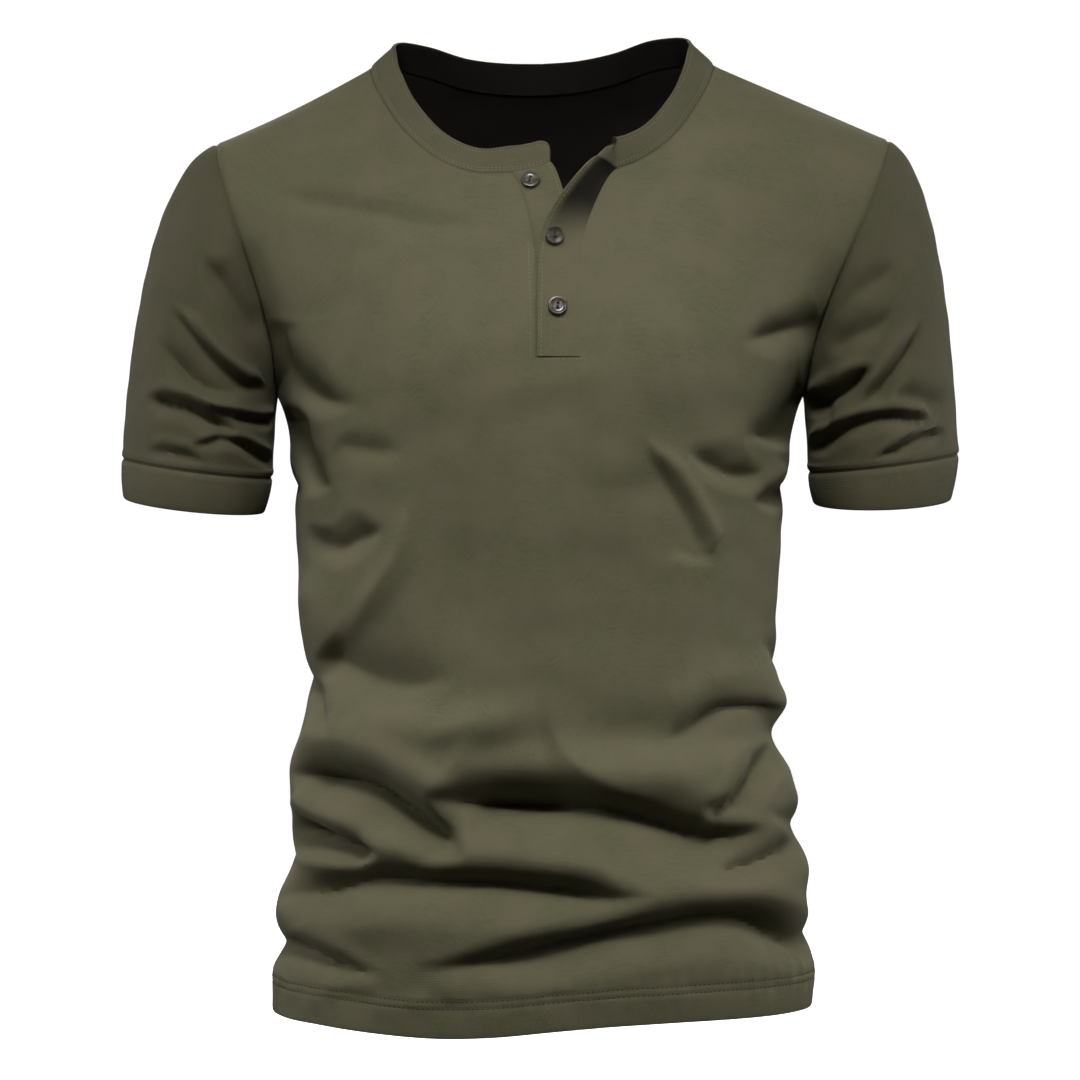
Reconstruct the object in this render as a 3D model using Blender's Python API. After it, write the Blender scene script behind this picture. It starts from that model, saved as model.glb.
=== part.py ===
"""A henley T-shirt in its worn form: hollow body, set-in short sleeves, neckband and open placket.

Sizes are in millimetres, with +Z up, +X towards the wearer's left and -Y to the front. The origin
is the middle of the neck opening, level with the inner ends of the shoulder seams. MM turns a
size into the metres of the scene.
"""

import math

import bpy
import numpy as np

MM = 0.001

# Cloth
BODY_WALL = 1.6
DOUBLE_WALL = 2.2
BAND_PROUD = 0.3
SEAM_TRIM = 0.2
STRIP_TRIM = 0.8
PLACKET_WALL = 1.8
PLACKET_GAP = 0.3
MOST_MITRE = 1.5

# The front elevation, in which folds are laid out, is as seen from this far in front.
VIEW_DISTANCE = 2600.0
VIEW_LEVEL = -319.6

# Body
HEM_LEVEL = -635.0
ARMPIT_LEVEL = -221.0
FRONT_POWER = 2.35
BACK_POWER = 2.2
HEM_TILT = 0.008
HEM_DIP = 9.0
HEM_DIP_AT = -60.0
HEM_DIP_SPREAD = 85.0
HEM_DIP_HEIGHT = 90.0

# Shoulder and armhole
SHOULDER_RIGHT = (-220.0, 6.0, -50.2)
SHOULDER_LEFT = (236.8, 6.0, -47.6)
SHOULDER_CROWN_RIGHT = -2.2
SHOULDER_CROWN_LEFT = 0.0
ARMHOLE_FRONT = 58.0
ARMHOLE_BACK = 64.0
ARMHOLE_BOW = 6.3
ARMHOLE_SPREAD = 0.42

# How the columns of cloth above the armpit arrive at the shoulder seam and at the neck seam: their
# run from front to back and upwards, and how hard the curves hold to their ends.
ARRIVE_FRONT = {"shoulder": (0.97, 0.22), "neck": (0.50, 0.86)}
ARRIVE_BACK = {"shoulder": (-0.97, 0.02), "neck": (-0.62, 0.78)}
LEAVE_PULL = 1.05
ARRIVE_PULL_SHOULDER = 0.75
ARRIVE_PULL_NECK = 0.90

# Placket: the slot's edges closed and at the open neck, the two strips, how the top of the
# buttonhole strip is lifted off the chest, and how the button strip's corner rises to the neckband.
SLOT_RIGHT = -2.6
SLOT_LEFT = 25.9
SLOT_RIGHT_OPEN = -20.0
SLOT_LEFT_OPEN = 51.5
OPEN_FROM = 0.60
OPEN_POWER = 1.45
FLAP_WIDTH = 28.2
UNDER_WIDTH = 27.2
FLAP_TUCK = 5.0
FLAP_LIFT = 56.0
FLAP_LIFT_FROM = 0.50
FLAP_RISE = 0.13
FLAP_TOWARDS_VIEW = 3.0
FLAP_BENDS = (0.80, 1.22, 0.98, 0.78)
UNDER_RISE = (-1.5, 0.0, 6.0)

# Neckband: how it leans in round the neck, stands up more towards the placket, and ends there
BAND_WIDTH = 22.0
BAND_LEAN_FRONT = 41.0
BAND_LEAN_SIDE = 50.0
BAND_LEAN_BACK = 20.0
BAND_RAISE_UNDER = 15.0
BAND_RAISE_FLAP = 24.0
BAND_RAISE_OVER = 60.0
BAND_FLAP_TILT = 0.16
BAND_FLAP_END = (0.40, 0.79, 0.46)
BAND_CORNER = 8.0

# Sleeve and cuff
CUFF_HALF_DEPTH = 61.0
CUFF_EDGE_DEPTH = 0.96
CUFF_BULGE = 0.6
SLEEVE_UNDER = (5.0, 0.0, -60.0)
SLEEVE_FLANK = (34.0, 0.0, -46.0)
SLEEVE_FLANK_POWER = 1.3
SLEEVE_BELLY = -44.0
SLEEVE_HANG = (58.0, 172.0)
SLEEVE_SPLAY = 0.05
SLEEVE_CLOSE = 14.0

# Buttons
BUTTON_RADIUS = 6.3
BUTTON_THICKNESS = 2.6
BUTTON_RIM = 1.3
BUTTON_DISH = 1.8
BUTTON_SIDES = 20

# How far a fold takes to turn over its crease, the share of its length over which each end tapers,
# how squarely the cloth has to face the front or back to take it, and how near a side seam it ends.
FOLD_EDGE = 6.5
FOLD_TAPER = 0.2
FOLD_FACING = 0.45
FOLD_SEAM_SHARE = 0.12

# Mesh density
SIDE_STEPS = 7
NECK_STEPS = 7
BACK_NECK_STEPS = 10
SLOT_STEPS = 2
ARM_STEPS = 12
ARM_CLOSE = 1.15
HEM_ROWS = 25
CHEST_ROWS = 9
FOLD_TOP = -404.0
SLOT_BOTTOM_ROW = 2
TUCK_ROWS = 1

# One row for each level of the body, hem to armpit: half widths to the wearer's right and left, and
# the depths forward and backward.
SECTIONS = [
    {"level": -640.0, "right": 182.0, "left": 184.5, "front": 117.0, "back": 108.0},
    {"level": -612.0, "right": 181.0, "left": 186.0, "front": 119.0, "back": 110.0},
    {"level": -585.0, "right": 175.0, "left": 181.0, "front": 121.0, "back": 111.0},
    {"level": -571.0, "right": 178.8, "left": 179.5, "front": 123.0, "back": 112.0},
    {"level": -558.0, "right": 176.5, "left": 180.5, "front": 124.0, "back": 112.0},
    {"level": -544.0, "right": 170.5, "left": 182.7, "front": 124.0, "back": 109.0},
    {"level": -517.0, "right": 167.3, "left": 173.5, "front": 122.0, "back": 103.0},
    {"level": -490.0, "right": 169.3, "left": 173.3, "front": 119.0, "back": 96.0},
    {"level": -476.0, "right": 169.8, "left": 170.0, "front": 117.0, "back": 92.0},
    {"level": -449.0, "right": 162.5, "left": 157.2, "front": 113.0, "back": 87.0},
    {"level": -430.0, "right": 158.0, "left": 167.5, "front": 112.0, "back": 86.0},
    {"level": -410.0, "right": 156.5, "left": 160.5, "front": 112.5, "back": 86.5},
    {"level": -380.0, "right": 162.3, "left": 159.3, "front": 113.0, "back": 88.0},
    {"level": -326.0, "right": 164.6, "left": 162.5, "front": 116.5, "back": 96.0},
    {"level": -286.0, "right": 167.3, "left": 165.9, "front": 120.5, "back": 103.0},
    {"level": -252.0, "right": 169.9, "left": 169.6, "front": 123.5, "back": 109.5},
    {"level": -236.0, "right": 172.3, "left": 172.3, "front": 124.2, "back": 111.0},
    {"level": -221.0, "right": 178.8, "left": 179.3, "front": 124.5, "back": 112.0},
]

# The neck seam, from the shoulder seams to the middle: how far out it lies to the right and to the
# left, how deep it is, and its level on each side.
FRONT_NECK = [
    {"right": 115.5, "left": 118.5, "depth": 5.0, "right_level": 2.5, "left_level": 4.5},
    {"right": 112.3, "left": 114.0, "depth": -13.5, "right_level": -11.0, "left_level": -10.0},
    {"right": 105.8, "left": 107.0, "depth": -28.0, "right_level": -23.0, "left_level": -24.0},
    {"right": 97.8, "left": 97.8, "depth": -39.5, "right_level": -36.5, "left_level": -38.0},
    {"right": 84.8, "left": 84.3, "depth": -53.0, "right_level": -52.0, "left_level": -53.5},
    {"right": 66.5, "left": 66.5, "depth": -65.5, "right_level": -67.0, "left_level": -67.0},
    {"right": 44.0, "left": 44.0, "depth": -75.5, "right_level": -76.0, "left_level": -75.5},
    {"right": 20.0, "left": 20.0, "depth": -80.5, "right_level": -76.8, "left_level": -76.8},
    {"right": 0.0, "left": 0.0, "depth": -82.0, "right_level": -77.0, "left_level": -77.0},
]
BACK_NECK = [
    {"right": 115.5, "left": 118.5, "depth": 5.0, "right_level": 2.5, "left_level": 4.5},
    {"right": 112.0, "left": 114.0, "depth": 25.0, "right_level": 5.0, "left_level": 8.0},
    {"right": 101.0, "left": 102.0, "depth": 41.0, "right_level": 5.5, "left_level": 9.0},
    {"right": 80.0, "left": 80.0, "depth": 53.0, "right_level": 2.5, "left_level": 7.0},
    {"right": 50.0, "left": 50.0, "depth": 60.0, "right_level": -6.0, "left_level": -2.5},
    {"right": 25.0, "left": 25.0, "depth": 62.5, "right_level": -9.0, "left_level": -7.6},
    {"right": 0.0, "left": 0.0, "depth": 63.0, "right_level": -9.6, "left_level": -9.6},
]

# Each sleeve's cuff seam and cuff edge: its middle, half width and level, how much its outer side
# rises over that level, and how much its front drops below it.
CUFFS = {
    "right": {
        "seam_middle": -232.9, "seam_half": 50.7, "seam_level": -270.8, "seam_rise": 6.8,
        "seam_drop": 4.0, "edge_middle": -235.3, "edge_half": 47.8, "edge_level": -295.5,
        "edge_rise": 5.4, "edge_drop": 5.4,
    },
    "left": {
        "seam_middle": 233.4, "seam_half": 50.8, "seam_level": -267.5, "seam_rise": 6.2,
        "seam_drop": 3.8, "edge_middle": 232.6, "edge_half": 46.6, "edge_level": -292.8,
        "edge_rise": 2.0, "edge_drop": 7.0,
    },
}

# How far and which way the sleeve cloth sets off from the armhole over the top of the arm.
SLEEVE_CROWNS = {"right": (-130.0, -45.0), "left": (99.0, -42.0)}

# Folds of the front, each along its crease in the front elevation. The cloth above a crease sinks
# in by depth over the height above, and stands out below it by ridge, dying away over below.
FRONT_FOLDS = [
    {"name": "waist_shelf", "depth": 16.0, "above": 28.0, "ridge": 4.0, "below": 40.0,
     "path": [(-72, -500), (-14, -500), (34, -504), (75, -512), (112, -523), (135, -522), (165, -512)]},
    {"name": "left_drape", "depth": 10.5, "above": 20.0, "ridge": 3.5, "below": 20.0,
     "path": [(-178, -478), (-136, -479), (-112, -490), (-92, -507), (-75, -522), (-52, -530)]},
    {"name": "left_tuck", "depth": 7.5, "above": 16.0, "ridge": 3.0, "below": 14.0,
     "path": [(-178, -512), (-139, -526), (-104, -532)]},
    {"name": "long_left", "depth": 12.0, "above": 20.0, "ridge": 4.0, "below": 24.0,
     "path": [(-190, -574), (-156, -562), (-129, -556), (-75, -558), (-24, -557), (17, -564),
              (84, -560)]},
    {"name": "long_right", "depth": 12.0, "above": 19.0, "ridge": 4.0, "below": 26.0,
     "path": [(-60, -624), (0, -605), (41, -592), (82, -583), (119, -578), (151, -584), (172, -598),
              (192, -625)]},
    {"name": "right_waist", "depth": 6.5, "above": 22.0, "ridge": 3.0, "below": 22.0,
     "path": [(70, -462), (105, -450), (119, -438), (139, -432), (178, -431)]},
    {"name": "right_pocket", "depth": 8.0, "above": 14.0, "ridge": 3.0, "below": 16.0,
     "path": [(108, -494), (122, -498), (138, -493), (148, -477), (160, -452)]},
    {"name": "left_waist", "depth": 6.5, "above": 38.0, "ridge": 2.0, "below": 26.0,
     "path": [(-172, -394), (-129, -412), (-95, -422), (-40, -418)]},
    {"name": "chest_diagonal", "depth": 4.0, "above": 26.0, "ridge": 1.5, "below": 26.0,
     "path": [(128, -350), (114, -309), (102, -287), (87, -264), (62, -236)]},
    {"name": "left_side", "depth": 3.5, "above": 24.0, "ridge": 2.5, "below": 24.0,
     "path": [(-90, -290), (-105, -341), (-122, -362), (-152, -400)]},
]

# Folds of the back, laid out in the same way as seen through the body from the front.
BACK_FOLDS = [
    {"name": "lumbar_shelf", "depth": 12.0, "above": 28.0, "ridge": 4.0, "below": 36.0,
     "path": [(-150, -470), (-96, -488), (-30, -493), (38, -488), (92, -474), (140, -452)]},
    {"name": "seat_fold", "depth": 10.5, "above": 20.0, "ridge": 4.0, "below": 28.0,
     "path": [(-175, -548), (-120, -560), (-50, -557), (10, -563), (66, -574)]},
    {"name": "seat_fold_left", "depth": 9.0, "above": 18.0, "ridge": 3.5, "below": 24.0,
     "path": [(8, -532), (62, -535), (118, -527), (176, -508)]},
    {"name": "waist_drag_right", "depth": 6.0, "above": 24.0, "ridge": 2.0, "below": 22.0,
     "path": [(-166, -402), (-128, -424), (-84, -436), (-30, -440)]},
    {"name": "waist_drag_left", "depth": 6.0, "above": 22.0, "ridge": 2.0, "below": 24.0,
     "path": [(24, -432), (76, -424), (122, -406), (166, -380)]},
    {"name": "hem_drag", "depth": 5.5, "above": 15.0, "ridge": 3.0, "below": 18.0,
     "path": [(60, -612), (112, -600), (180, -590)]},
]

# Folds of the sleeves, seen from the front, on the front and then on the back of each.
SLEEVE_FOLDS = {
    "right": {
        "front": [
            {"name": "elbow_drag", "depth": 4.0, "above": 14.0, "ridge": 4.0, "below": 16.0,
             "path": [(-258, -128), (-240, -152), (-222, -178), (-200, -200), (-178, -212)]},
            {"name": "upper_cross", "depth": 5.5, "above": 15.0, "ridge": 3.0, "below": 14.0,
             "path": [(-272, -205), (-252, -222), (-226, -232), (-200, -236), (-176, -238)]},
        ],
        "back": [
            {"name": "back_drag", "depth": 4.5, "above": 16.0, "ridge": 3.0, "below": 16.0,
             "path": [(-268, -190), (-240, -206), (-210, -216), (-184, -220)]},
        ],
    },
    "left": {
        "front": [
            {"name": "inner_cross", "depth": 6.0, "above": 14.0, "ridge": 3.5, "below": 14.0,
             "path": [(178, -232), (196, -222), (214, -212), (236, -202), (256, -188)]},
            {"name": "low_arc", "depth": 4.5, "above": 13.0, "ridge": 3.0, "below": 13.0,
             "path": [(178, -258), (200, -246), (224, -238), (252, -236), (282, -238)]},
        ],
        "back": [
            {"name": "back_drag", "depth": 4.5, "above": 16.0, "ridge": 3.0, "below": 16.0,
             "path": [(180, -214), (206, -222), (236, -214), (266, -196)]},
        ],
    },
}

# Button centres in the front elevation, and the placket strip that each lies on.
BUTTONS = [
    {"name": "button_top", "on": "placket_under", "across": -6.8, "level": -75.2},
    {"name": "button_middle", "on": "placket_over", "across": 9.6, "level": -112.4},
    {"name": "button_bottom", "on": "placket_over", "across": 12.0, "level": -160.6},
]

JERSEY = {"name": "jersey", "colour": (0.105, 0.101, 0.062), "roughness": 0.85}
PEARL = {"name": "button", "colour": (0.060, 0.052, 0.034), "roughness": 0.25}


def clear_scene():
    for old in list(bpy.data.objects):
        bpy.data.objects.remove(old, do_unlink=True)


def ramp(value):
    """Rises smoothly from 0 to 1 as value goes from 0 to 1."""
    held = np.clip(value, 0.0, 1.0)
    return held * held * (3.0 - 2.0 * held)


def unit(vectors):
    length = np.linalg.norm(vectors, axis=-1, keepdims=True)
    return vectors / np.maximum(length, 1e-9)


def curve_through(knots, values, at):
    """A smooth curve through values at the rising knots, read at each place in at."""
    knots = np.asarray(knots, float)
    values = np.asarray(values, float)
    slopes = np.gradient(values, knots, axis=0)
    at = np.clip(np.asarray(at, float), knots[0], knots[-1])
    start = np.clip(np.searchsorted(knots, at, side="right") - 1, 0, len(knots) - 2)
    gap = knots[start + 1] - knots[start]
    part = (at - knots[start]) / gap
    if values.ndim > 1:
        gap = gap[..., None]
        part = part[..., None]
    return hermite(values[start], values[start + 1], slopes[start] * gap, slopes[start + 1] * gap, part)


def hermite(first, last, leaving, arriving, part):
    square = part * part
    cube = square * part
    return (
        first * (2 * cube - 3 * square + 1)
        + leaving * (cube - 2 * square + part)
        + last * (3 * square - 2 * cube)
        + arriving * (cube - square)
    )


def column(table, name):
    return [row[name] for row in table]


def along(points):
    """The distance along a line of points, from 0 at its start."""
    steps = np.linalg.norm(np.diff(points, axis=0), axis=1)
    return np.concatenate([[0.0], np.cumsum(steps)])


def arm_parts():
    """The shares of an armhole at which rows meet it, a little closer together near the armpit."""
    return np.linspace(0.0, 1.0, ARM_STEPS + 1) ** ARM_CLOSE


def round_turns():
    """The angle round a sleeve of each point of its rings, 0 at the armpit and growing up the front."""
    front = math.pi * arm_parts()
    return np.concatenate([front, 2.0 * math.pi - front[::-1][1:-1]])


def spread(points, first, last, steps):
    """Points evenly spaced from distance first to last along a line."""
    reach = along(points)
    places = np.linspace(first, last, steps + 1)
    return np.stack([np.interp(places, reach, points[:, axis]) for axis in range(3)], axis=1)


def marked(points, marks, steps):
    """Splits a line at the marks, which are distances along it, with so many steps in each part."""
    parts = [spread(points, marks[i], marks[i + 1], steps[i]) for i in range(len(steps))]
    return np.concatenate([parts[0]] + [part[1:] for part in parts[1:]])


def section_line(level, front):
    """The body's outline at a level, from the right side to the left, round the front or the back."""
    levels = column(SECTIONS, "level")
    right = curve_through(levels, column(SECTIONS, "right"), level)
    left = curve_through(levels, column(SECTIONS, "left"), level)
    depth = curve_through(levels, column(SECTIONS, "front" if front else "back"), level)
    power = 2.0 / (FRONT_POWER if front else BACK_POWER)
    turn = np.linspace(0.0, math.pi, 361)
    cosine = np.cos(turn)
    across = -np.sign(cosine) * np.abs(cosine) ** power * np.where(cosine > 0, right, left)
    deep = np.abs(np.sin(turn)) ** power * depth * (-1 if front else 1)
    return np.stack([across, deep, np.full_like(turn, level)], axis=1)


def front_row(level):
    line = section_line(level, True)
    reach = along(line)
    slot = [np.interp(edge, line[:, 0], reach) for edge in (SLOT_RIGHT, SLOT_LEFT)]
    marks = [0.0, *slot, reach[-1]]
    return marked(line, marks, [SIDE_STEPS + NECK_STEPS, SLOT_STEPS, SIDE_STEPS + NECK_STEPS])


def back_row(level):
    line = section_line(level, False)
    reach = along(line)
    return marked(line, [0.0, reach[-1]], [2 * SIDE_STEPS + BACK_NECK_STEPS])


def body_levels():
    low = np.linspace(HEM_LEVEL, FOLD_TOP, HEM_ROWS + 1)
    high = np.linspace(FOLD_TOP, ARMPIT_LEVEL, CHEST_ROWS + 1)
    return np.concatenate([low, high[1:]])


def hand(side):
    """The wearer's hand on that side of the body: side is -1 at the right."""
    return "right" if side < 0 else "left"


def neck_half(table, side):
    """One side of the neck seam, from the shoulder seam to the middle."""
    rows = np.array([[side * row[hand(side)], row["depth"], row[hand(side) + "_level"]] for row in table])
    knots = along(rows)
    return curve_through(knots, rows, np.linspace(0.0, knots[-1], 161))


def shoulder_seam(side):
    """From the armhole to the neck, a little crowned."""
    outer = np.array(SHOULDER_RIGHT if side < 0 else SHOULDER_LEFT)
    inner = neck_half(FRONT_NECK, side)[0]
    part = np.linspace(0.0, 1.0, SIDE_STEPS + 1)[:, None]
    rise = SHOULDER_CROWN_RIGHT if side < 0 else SHOULDER_CROWN_LEFT
    crown = np.array([0.0, 0.0, rise]) * np.sin(math.pi * part)
    return outer + (inner - outer) * part + crown


def to_x(line, across):
    """The part of a line that ends where it reaches this far across."""
    order = np.argsort(line[:, 0])
    reach = along(line)
    return float(np.interp(across, line[order, 0], reach[order]))


def front_top(right_edge, left_edge):
    """The front's upper edge for the given ends of the neck seam at the placket."""
    right = neck_half(FRONT_NECK, -1)
    left = neck_half(FRONT_NECK, 1)
    whole = np.concatenate([right, left[::-1][1:]])
    reach = along(whole)
    stops = [0.0, to_x(whole, right_edge), to_x(whole, left_edge), reach[-1]]
    neck = marked(whole, stops, [NECK_STEPS, SLOT_STEPS, NECK_STEPS])
    return np.concatenate([shoulder_seam(-1), neck[1:-1], shoulder_seam(1)[::-1]])


def back_top():
    right = neck_half(BACK_NECK, -1)
    left = neck_half(BACK_NECK, 1)
    whole = np.concatenate([right, left[::-1][1:]])
    neck = marked(whole, [0.0, along(whole)[-1]], [BACK_NECK_STEPS])
    return np.concatenate([shoulder_seam(-1), neck[1:-1], shoulder_seam(1)[::-1]])


def armhole_line(side, front):
    """The armhole seam from the armpit up to the shoulder."""
    part = arm_parts()
    top = np.array(SHOULDER_RIGHT if side < 0 else SHOULDER_LEFT)
    row = SECTIONS[-1]
    low = np.array([side * row[hand(side)], 0.0, ARMPIT_LEVEL])
    rise = 0.5 - 0.5 * np.cos(math.pi * part)
    line = low + (top - low) * rise[:, None]
    line[:, 0] -= side * ARMHOLE_BOW * np.sin(math.pi * (1.0 - rise) ** 2)
    bulge = np.abs(np.sin(math.pi * part)) ** 0.9
    line[:, 1] += bulge * (-ARMHOLE_FRONT if front else ARMHOLE_BACK)
    return line


def shares_across(row):
    """How far each point of a row is from its nearer end, 0 at an end and 1 in the middle."""
    reach = along(row)
    return 1.0 - np.abs(2.0 * reach / reach[-1] - 1.0)


def upper_rows(low_row, top_row, open_row, front):
    """Rows above the armpit, as columns of cloth that leave the chest upright and lean to the seams."""
    lean_in = ramp(shares_across(top_row)[:, None] * 1.25)
    arrive = ARRIVE_FRONT if front else ARRIVE_BACK
    at_shoulder = np.array([0.0, *arrive["shoulder"]])
    at_neck = np.array([0.0, *arrive["neck"]])
    size = np.linalg.norm(top_row - low_row, axis=1)[:, None]
    leaving = np.array([0.0, 0.0, 1.0]) * size * LEAVE_PULL
    pull = ARRIVE_PULL_SHOULDER + (ARRIVE_PULL_NECK - ARRIVE_PULL_SHOULDER) * lean_in
    arriving = unit(at_shoulder + (at_neck - at_shoulder) * lean_in) * size * pull
    rows = []
    for part in arm_parts():
        row = hermite(low_row, top_row, leaving, arriving, part)
        opened = np.clip((part - OPEN_FROM) / (1.0 - OPEN_FROM), 0.0, 1.0) ** OPEN_POWER
        rows.append(row + (open_row - top_row) * opened)
    rows = np.array(rows)
    nearness = np.clip(shares_across(low_row) / ARMHOLE_SPREAD, 0.0, 1.0)
    hold = (1.0 - ramp(nearness))[None, :, None]
    half = rows.shape[1] // 2
    for side, end in ((-1, 0), (1, -1)):
        pull = (armhole_line(side, front) - rows[:, end])[:, None, :]
        reach = slice(0, half) if side < 0 else slice(half, None)
        rows[:, reach] += pull * hold[:, reach]
    return rows


def dip_hem(grid):
    """Lets the hem down where it sags in front, and tilts it a little."""
    drop = HEM_DIP * np.exp(-(((grid[..., 0] - HEM_DIP_AT) / HEM_DIP_SPREAD) ** 2))
    fade = ramp(1.0 - (grid[..., 2] - HEM_LEVEL) / HEM_DIP_HEIGHT)
    sag = drop * ramp(-grid[..., 1] / 60.0) - HEM_TILT * grid[..., 0]
    grid[..., 2] -= sag * fade


def grid_normals(grid):
    """Outward normals of a grid whose rows rise and whose columns run from right to left in front."""
    return unit(np.cross(np.gradient(grid, axis=1), np.gradient(grid, axis=0)))


def seen(points):
    """Where points lie in the front elevation."""
    scale = VIEW_DISTANCE / (VIEW_DISTANCE + points[..., 1])
    return np.stack([points[..., 0] * scale, VIEW_LEVEL + (points[..., 2] - VIEW_LEVEL) * scale], axis=-1)


def fold_shape(fold, where):
    """How far a fold moves the cloth outwards at each place of the elevation."""
    path = np.array(fold["path"], float)
    knots = np.concatenate([[0.0], np.cumsum(np.linalg.norm(np.diff(path, axis=0), axis=1))])
    line = curve_through(knots, path, np.linspace(0.0, knots[-1], 12 * len(path)))
    start = line[:-1]
    step = line[1:] - start
    length = np.linalg.norm(step, axis=1)
    offset = where[..., None, :] - start
    place = np.clip((offset * step).sum(-1) / length**2, 0.0, 1.0)
    gap = offset - place[..., None] * step
    distance = np.linalg.norm(gap, axis=-1)
    nearest = distance.argmin(axis=-1)[..., None]
    sign = np.take_along_axis(step[:, 0] * gap[..., 1] - step[:, 1] * gap[..., 0], nearest, -1)[..., 0]
    height = np.take_along_axis(distance, nearest, -1)[..., 0] * np.sign(sign)
    run = (np.take_along_axis(place, nearest, -1)[..., 0] + nearest[..., 0]) / len(start)
    fade = ramp(run / FOLD_TAPER) * ramp((1.0 - run) / FOLD_TAPER)
    sunk = -fold["depth"] * (1.0 - ramp(height / fold["above"]))
    stood = fold["ridge"] * (1.0 - ramp(-height / fold["below"]))
    over = 0.5 + 0.5 * np.tanh(height / FOLD_EDGE)
    return fade * (sunk * over + stood * (1.0 - over))


def fold_cloth(grid, folds, faces_front, hold):
    """Moves a grid's points along their normals by the folds; hold is 0 where a seam keeps them."""
    normals = grid_normals(grid)
    where = seen(grid)
    facing = -normals[..., 1] if faces_front else normals[..., 1]
    weight = ramp(facing / FOLD_FACING) * hold
    moved = sum(fold_shape(fold, where) for fold in folds)
    return grid + normals * (moved * weight)[..., None]


def body_grid(front):
    levels = body_levels()
    low = np.array([front_row(level) if front else back_row(level) for level in levels])
    if front:
        closed = front_top(SLOT_RIGHT, SLOT_LEFT)
        opened = front_top(SLOT_RIGHT_OPEN, SLOT_LEFT_OPEN)
    else:
        closed = back_top()
        opened = closed
    high = upper_rows(low[-1], closed, opened, front)
    grid = np.concatenate([low, high[1:]])
    dip_hem(grid)
    across = np.array([shares_across(row) for row in grid])
    rise = np.arange(len(grid))[:, None]
    below_seam = ramp((len(grid) - 1 - rise) / 3.0)
    hold = ramp(across / FOLD_SEAM_SHARE) * below_seam
    if front:
        return fold_cloth(grid, FRONT_FOLDS, True, hold)
    return fold_cloth(grid[:, ::-1], BACK_FOLDS, False, hold)[:, ::-1]


def cuff_ring(side, line):
    """The points of a cuff's seam or edge, in the order of the armhole's."""
    cuff = CUFFS[hand(side)]
    turn = round_turns()
    outer = -np.cos(turn)
    forward = np.sin(turn)
    across = cuff[line + "_middle"] + side * cuff[line + "_half"] * outer
    deep = -CUFF_HALF_DEPTH * forward * (1.0 if line == "seam" else CUFF_EDGE_DEPTH)
    level = cuff[line + "_level"] + cuff[line + "_rise"] * outer - cuff[line + "_drop"] * forward
    return np.stack([across, deep, level], axis=1)


def sleeve_grid(side, front_edge, back_edge):
    """Rings from the armhole to the cuff; a ring runs from the armpit up the front and down the back."""
    armhole = np.concatenate([front_edge, back_edge[::-1][1:-1]])
    cuff = cuff_ring(side, "seam")
    turn = round_turns()
    crown = ((1.0 - np.cos(turn)) / 2.0)[:, None]
    forward = np.sin(turn)[:, None]
    mirror = np.array([side, 1.0, 1.0])
    across, fall = SLEEVE_CROWNS[hand(side)]
    over = np.array([across, 0.0, fall])
    under = np.array(SLEEVE_UNDER) * mirror
    flank = np.array(SLEEVE_FLANK) * mirror * np.abs(forward) ** SLEEVE_FLANK_POWER
    belly = np.array([0.0, SLEEVE_BELLY, 0.0]) * forward
    leaving = under + (over - under) * crown + flank + belly
    length = SLEEVE_HANG[0] + SLEEVE_HANG[1] * crown
    closing = np.array([0.0, SLEEVE_CLOSE, 0.0]) * forward
    arriving = np.array([side * SLEEVE_SPLAY, 0.0, -1.0]) * length + closing
    parts = np.linspace(0.0, 1.0, ARM_STEPS + 1)
    return np.array([hermite(armhole, cuff, leaving, arriving, part) for part in parts])


def fold_sleeve(side, grid):
    """Folds the front and the back of a sleeve, leaving its two seams where they are."""
    folds = SLEEVE_FOLDS[hand(side)]
    looped = np.concatenate([grid[:, -1:], grid, grid[:, :1]], axis=1)
    normals = grid_normals(looped)[:, 1:-1] * -side
    where = seen(grid)
    rows = np.arange(len(grid))[:, None]
    hold = ramp(rows / 3.0) * ramp((len(grid) - 1 - rows) / 2.0)
    moved = np.zeros(grid.shape[:2])
    for face, turn in (("front", -1.0), ("back", 1.0)):
        weight = ramp(turn * normals[..., 1] / 0.4)
        moved += weight * sum(fold_shape(fold, where) for fold in folds[face])
    return grid + normals * (moved * hold)[..., None]


def under_placket(front):
    """The button strip: it starts behind the right panel's edge and crosses the slot."""
    edge = SIDE_STEPS + NECK_STEPS
    first = len(body_levels()) - 1 + SLOT_BOTTOM_ROW - TUCK_ROWS
    normals = grid_normals(front)
    rows = []
    for row in range(first, len(front)):
        seam = front[row, edge]
        across = unit(front[row, edge + SLOT_STEPS] - seam)
        back = unit(front[row, edge - 1] - seam)
        rise = np.array(UNDER_RISE) * ramp((row - (len(front) - 3)) / 2.0)
        free = seam + across * UNDER_WIDTH + rise
        middle = seam + across * UNDER_WIDTH / 2.0 + rise / 4.0
        depth = (PLACKET_WALL + PLACKET_GAP) * normals[row, edge]
        rows.append([seam + back * FLAP_TUCK - depth, middle - depth, free - depth])
    return np.array(rows)


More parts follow.
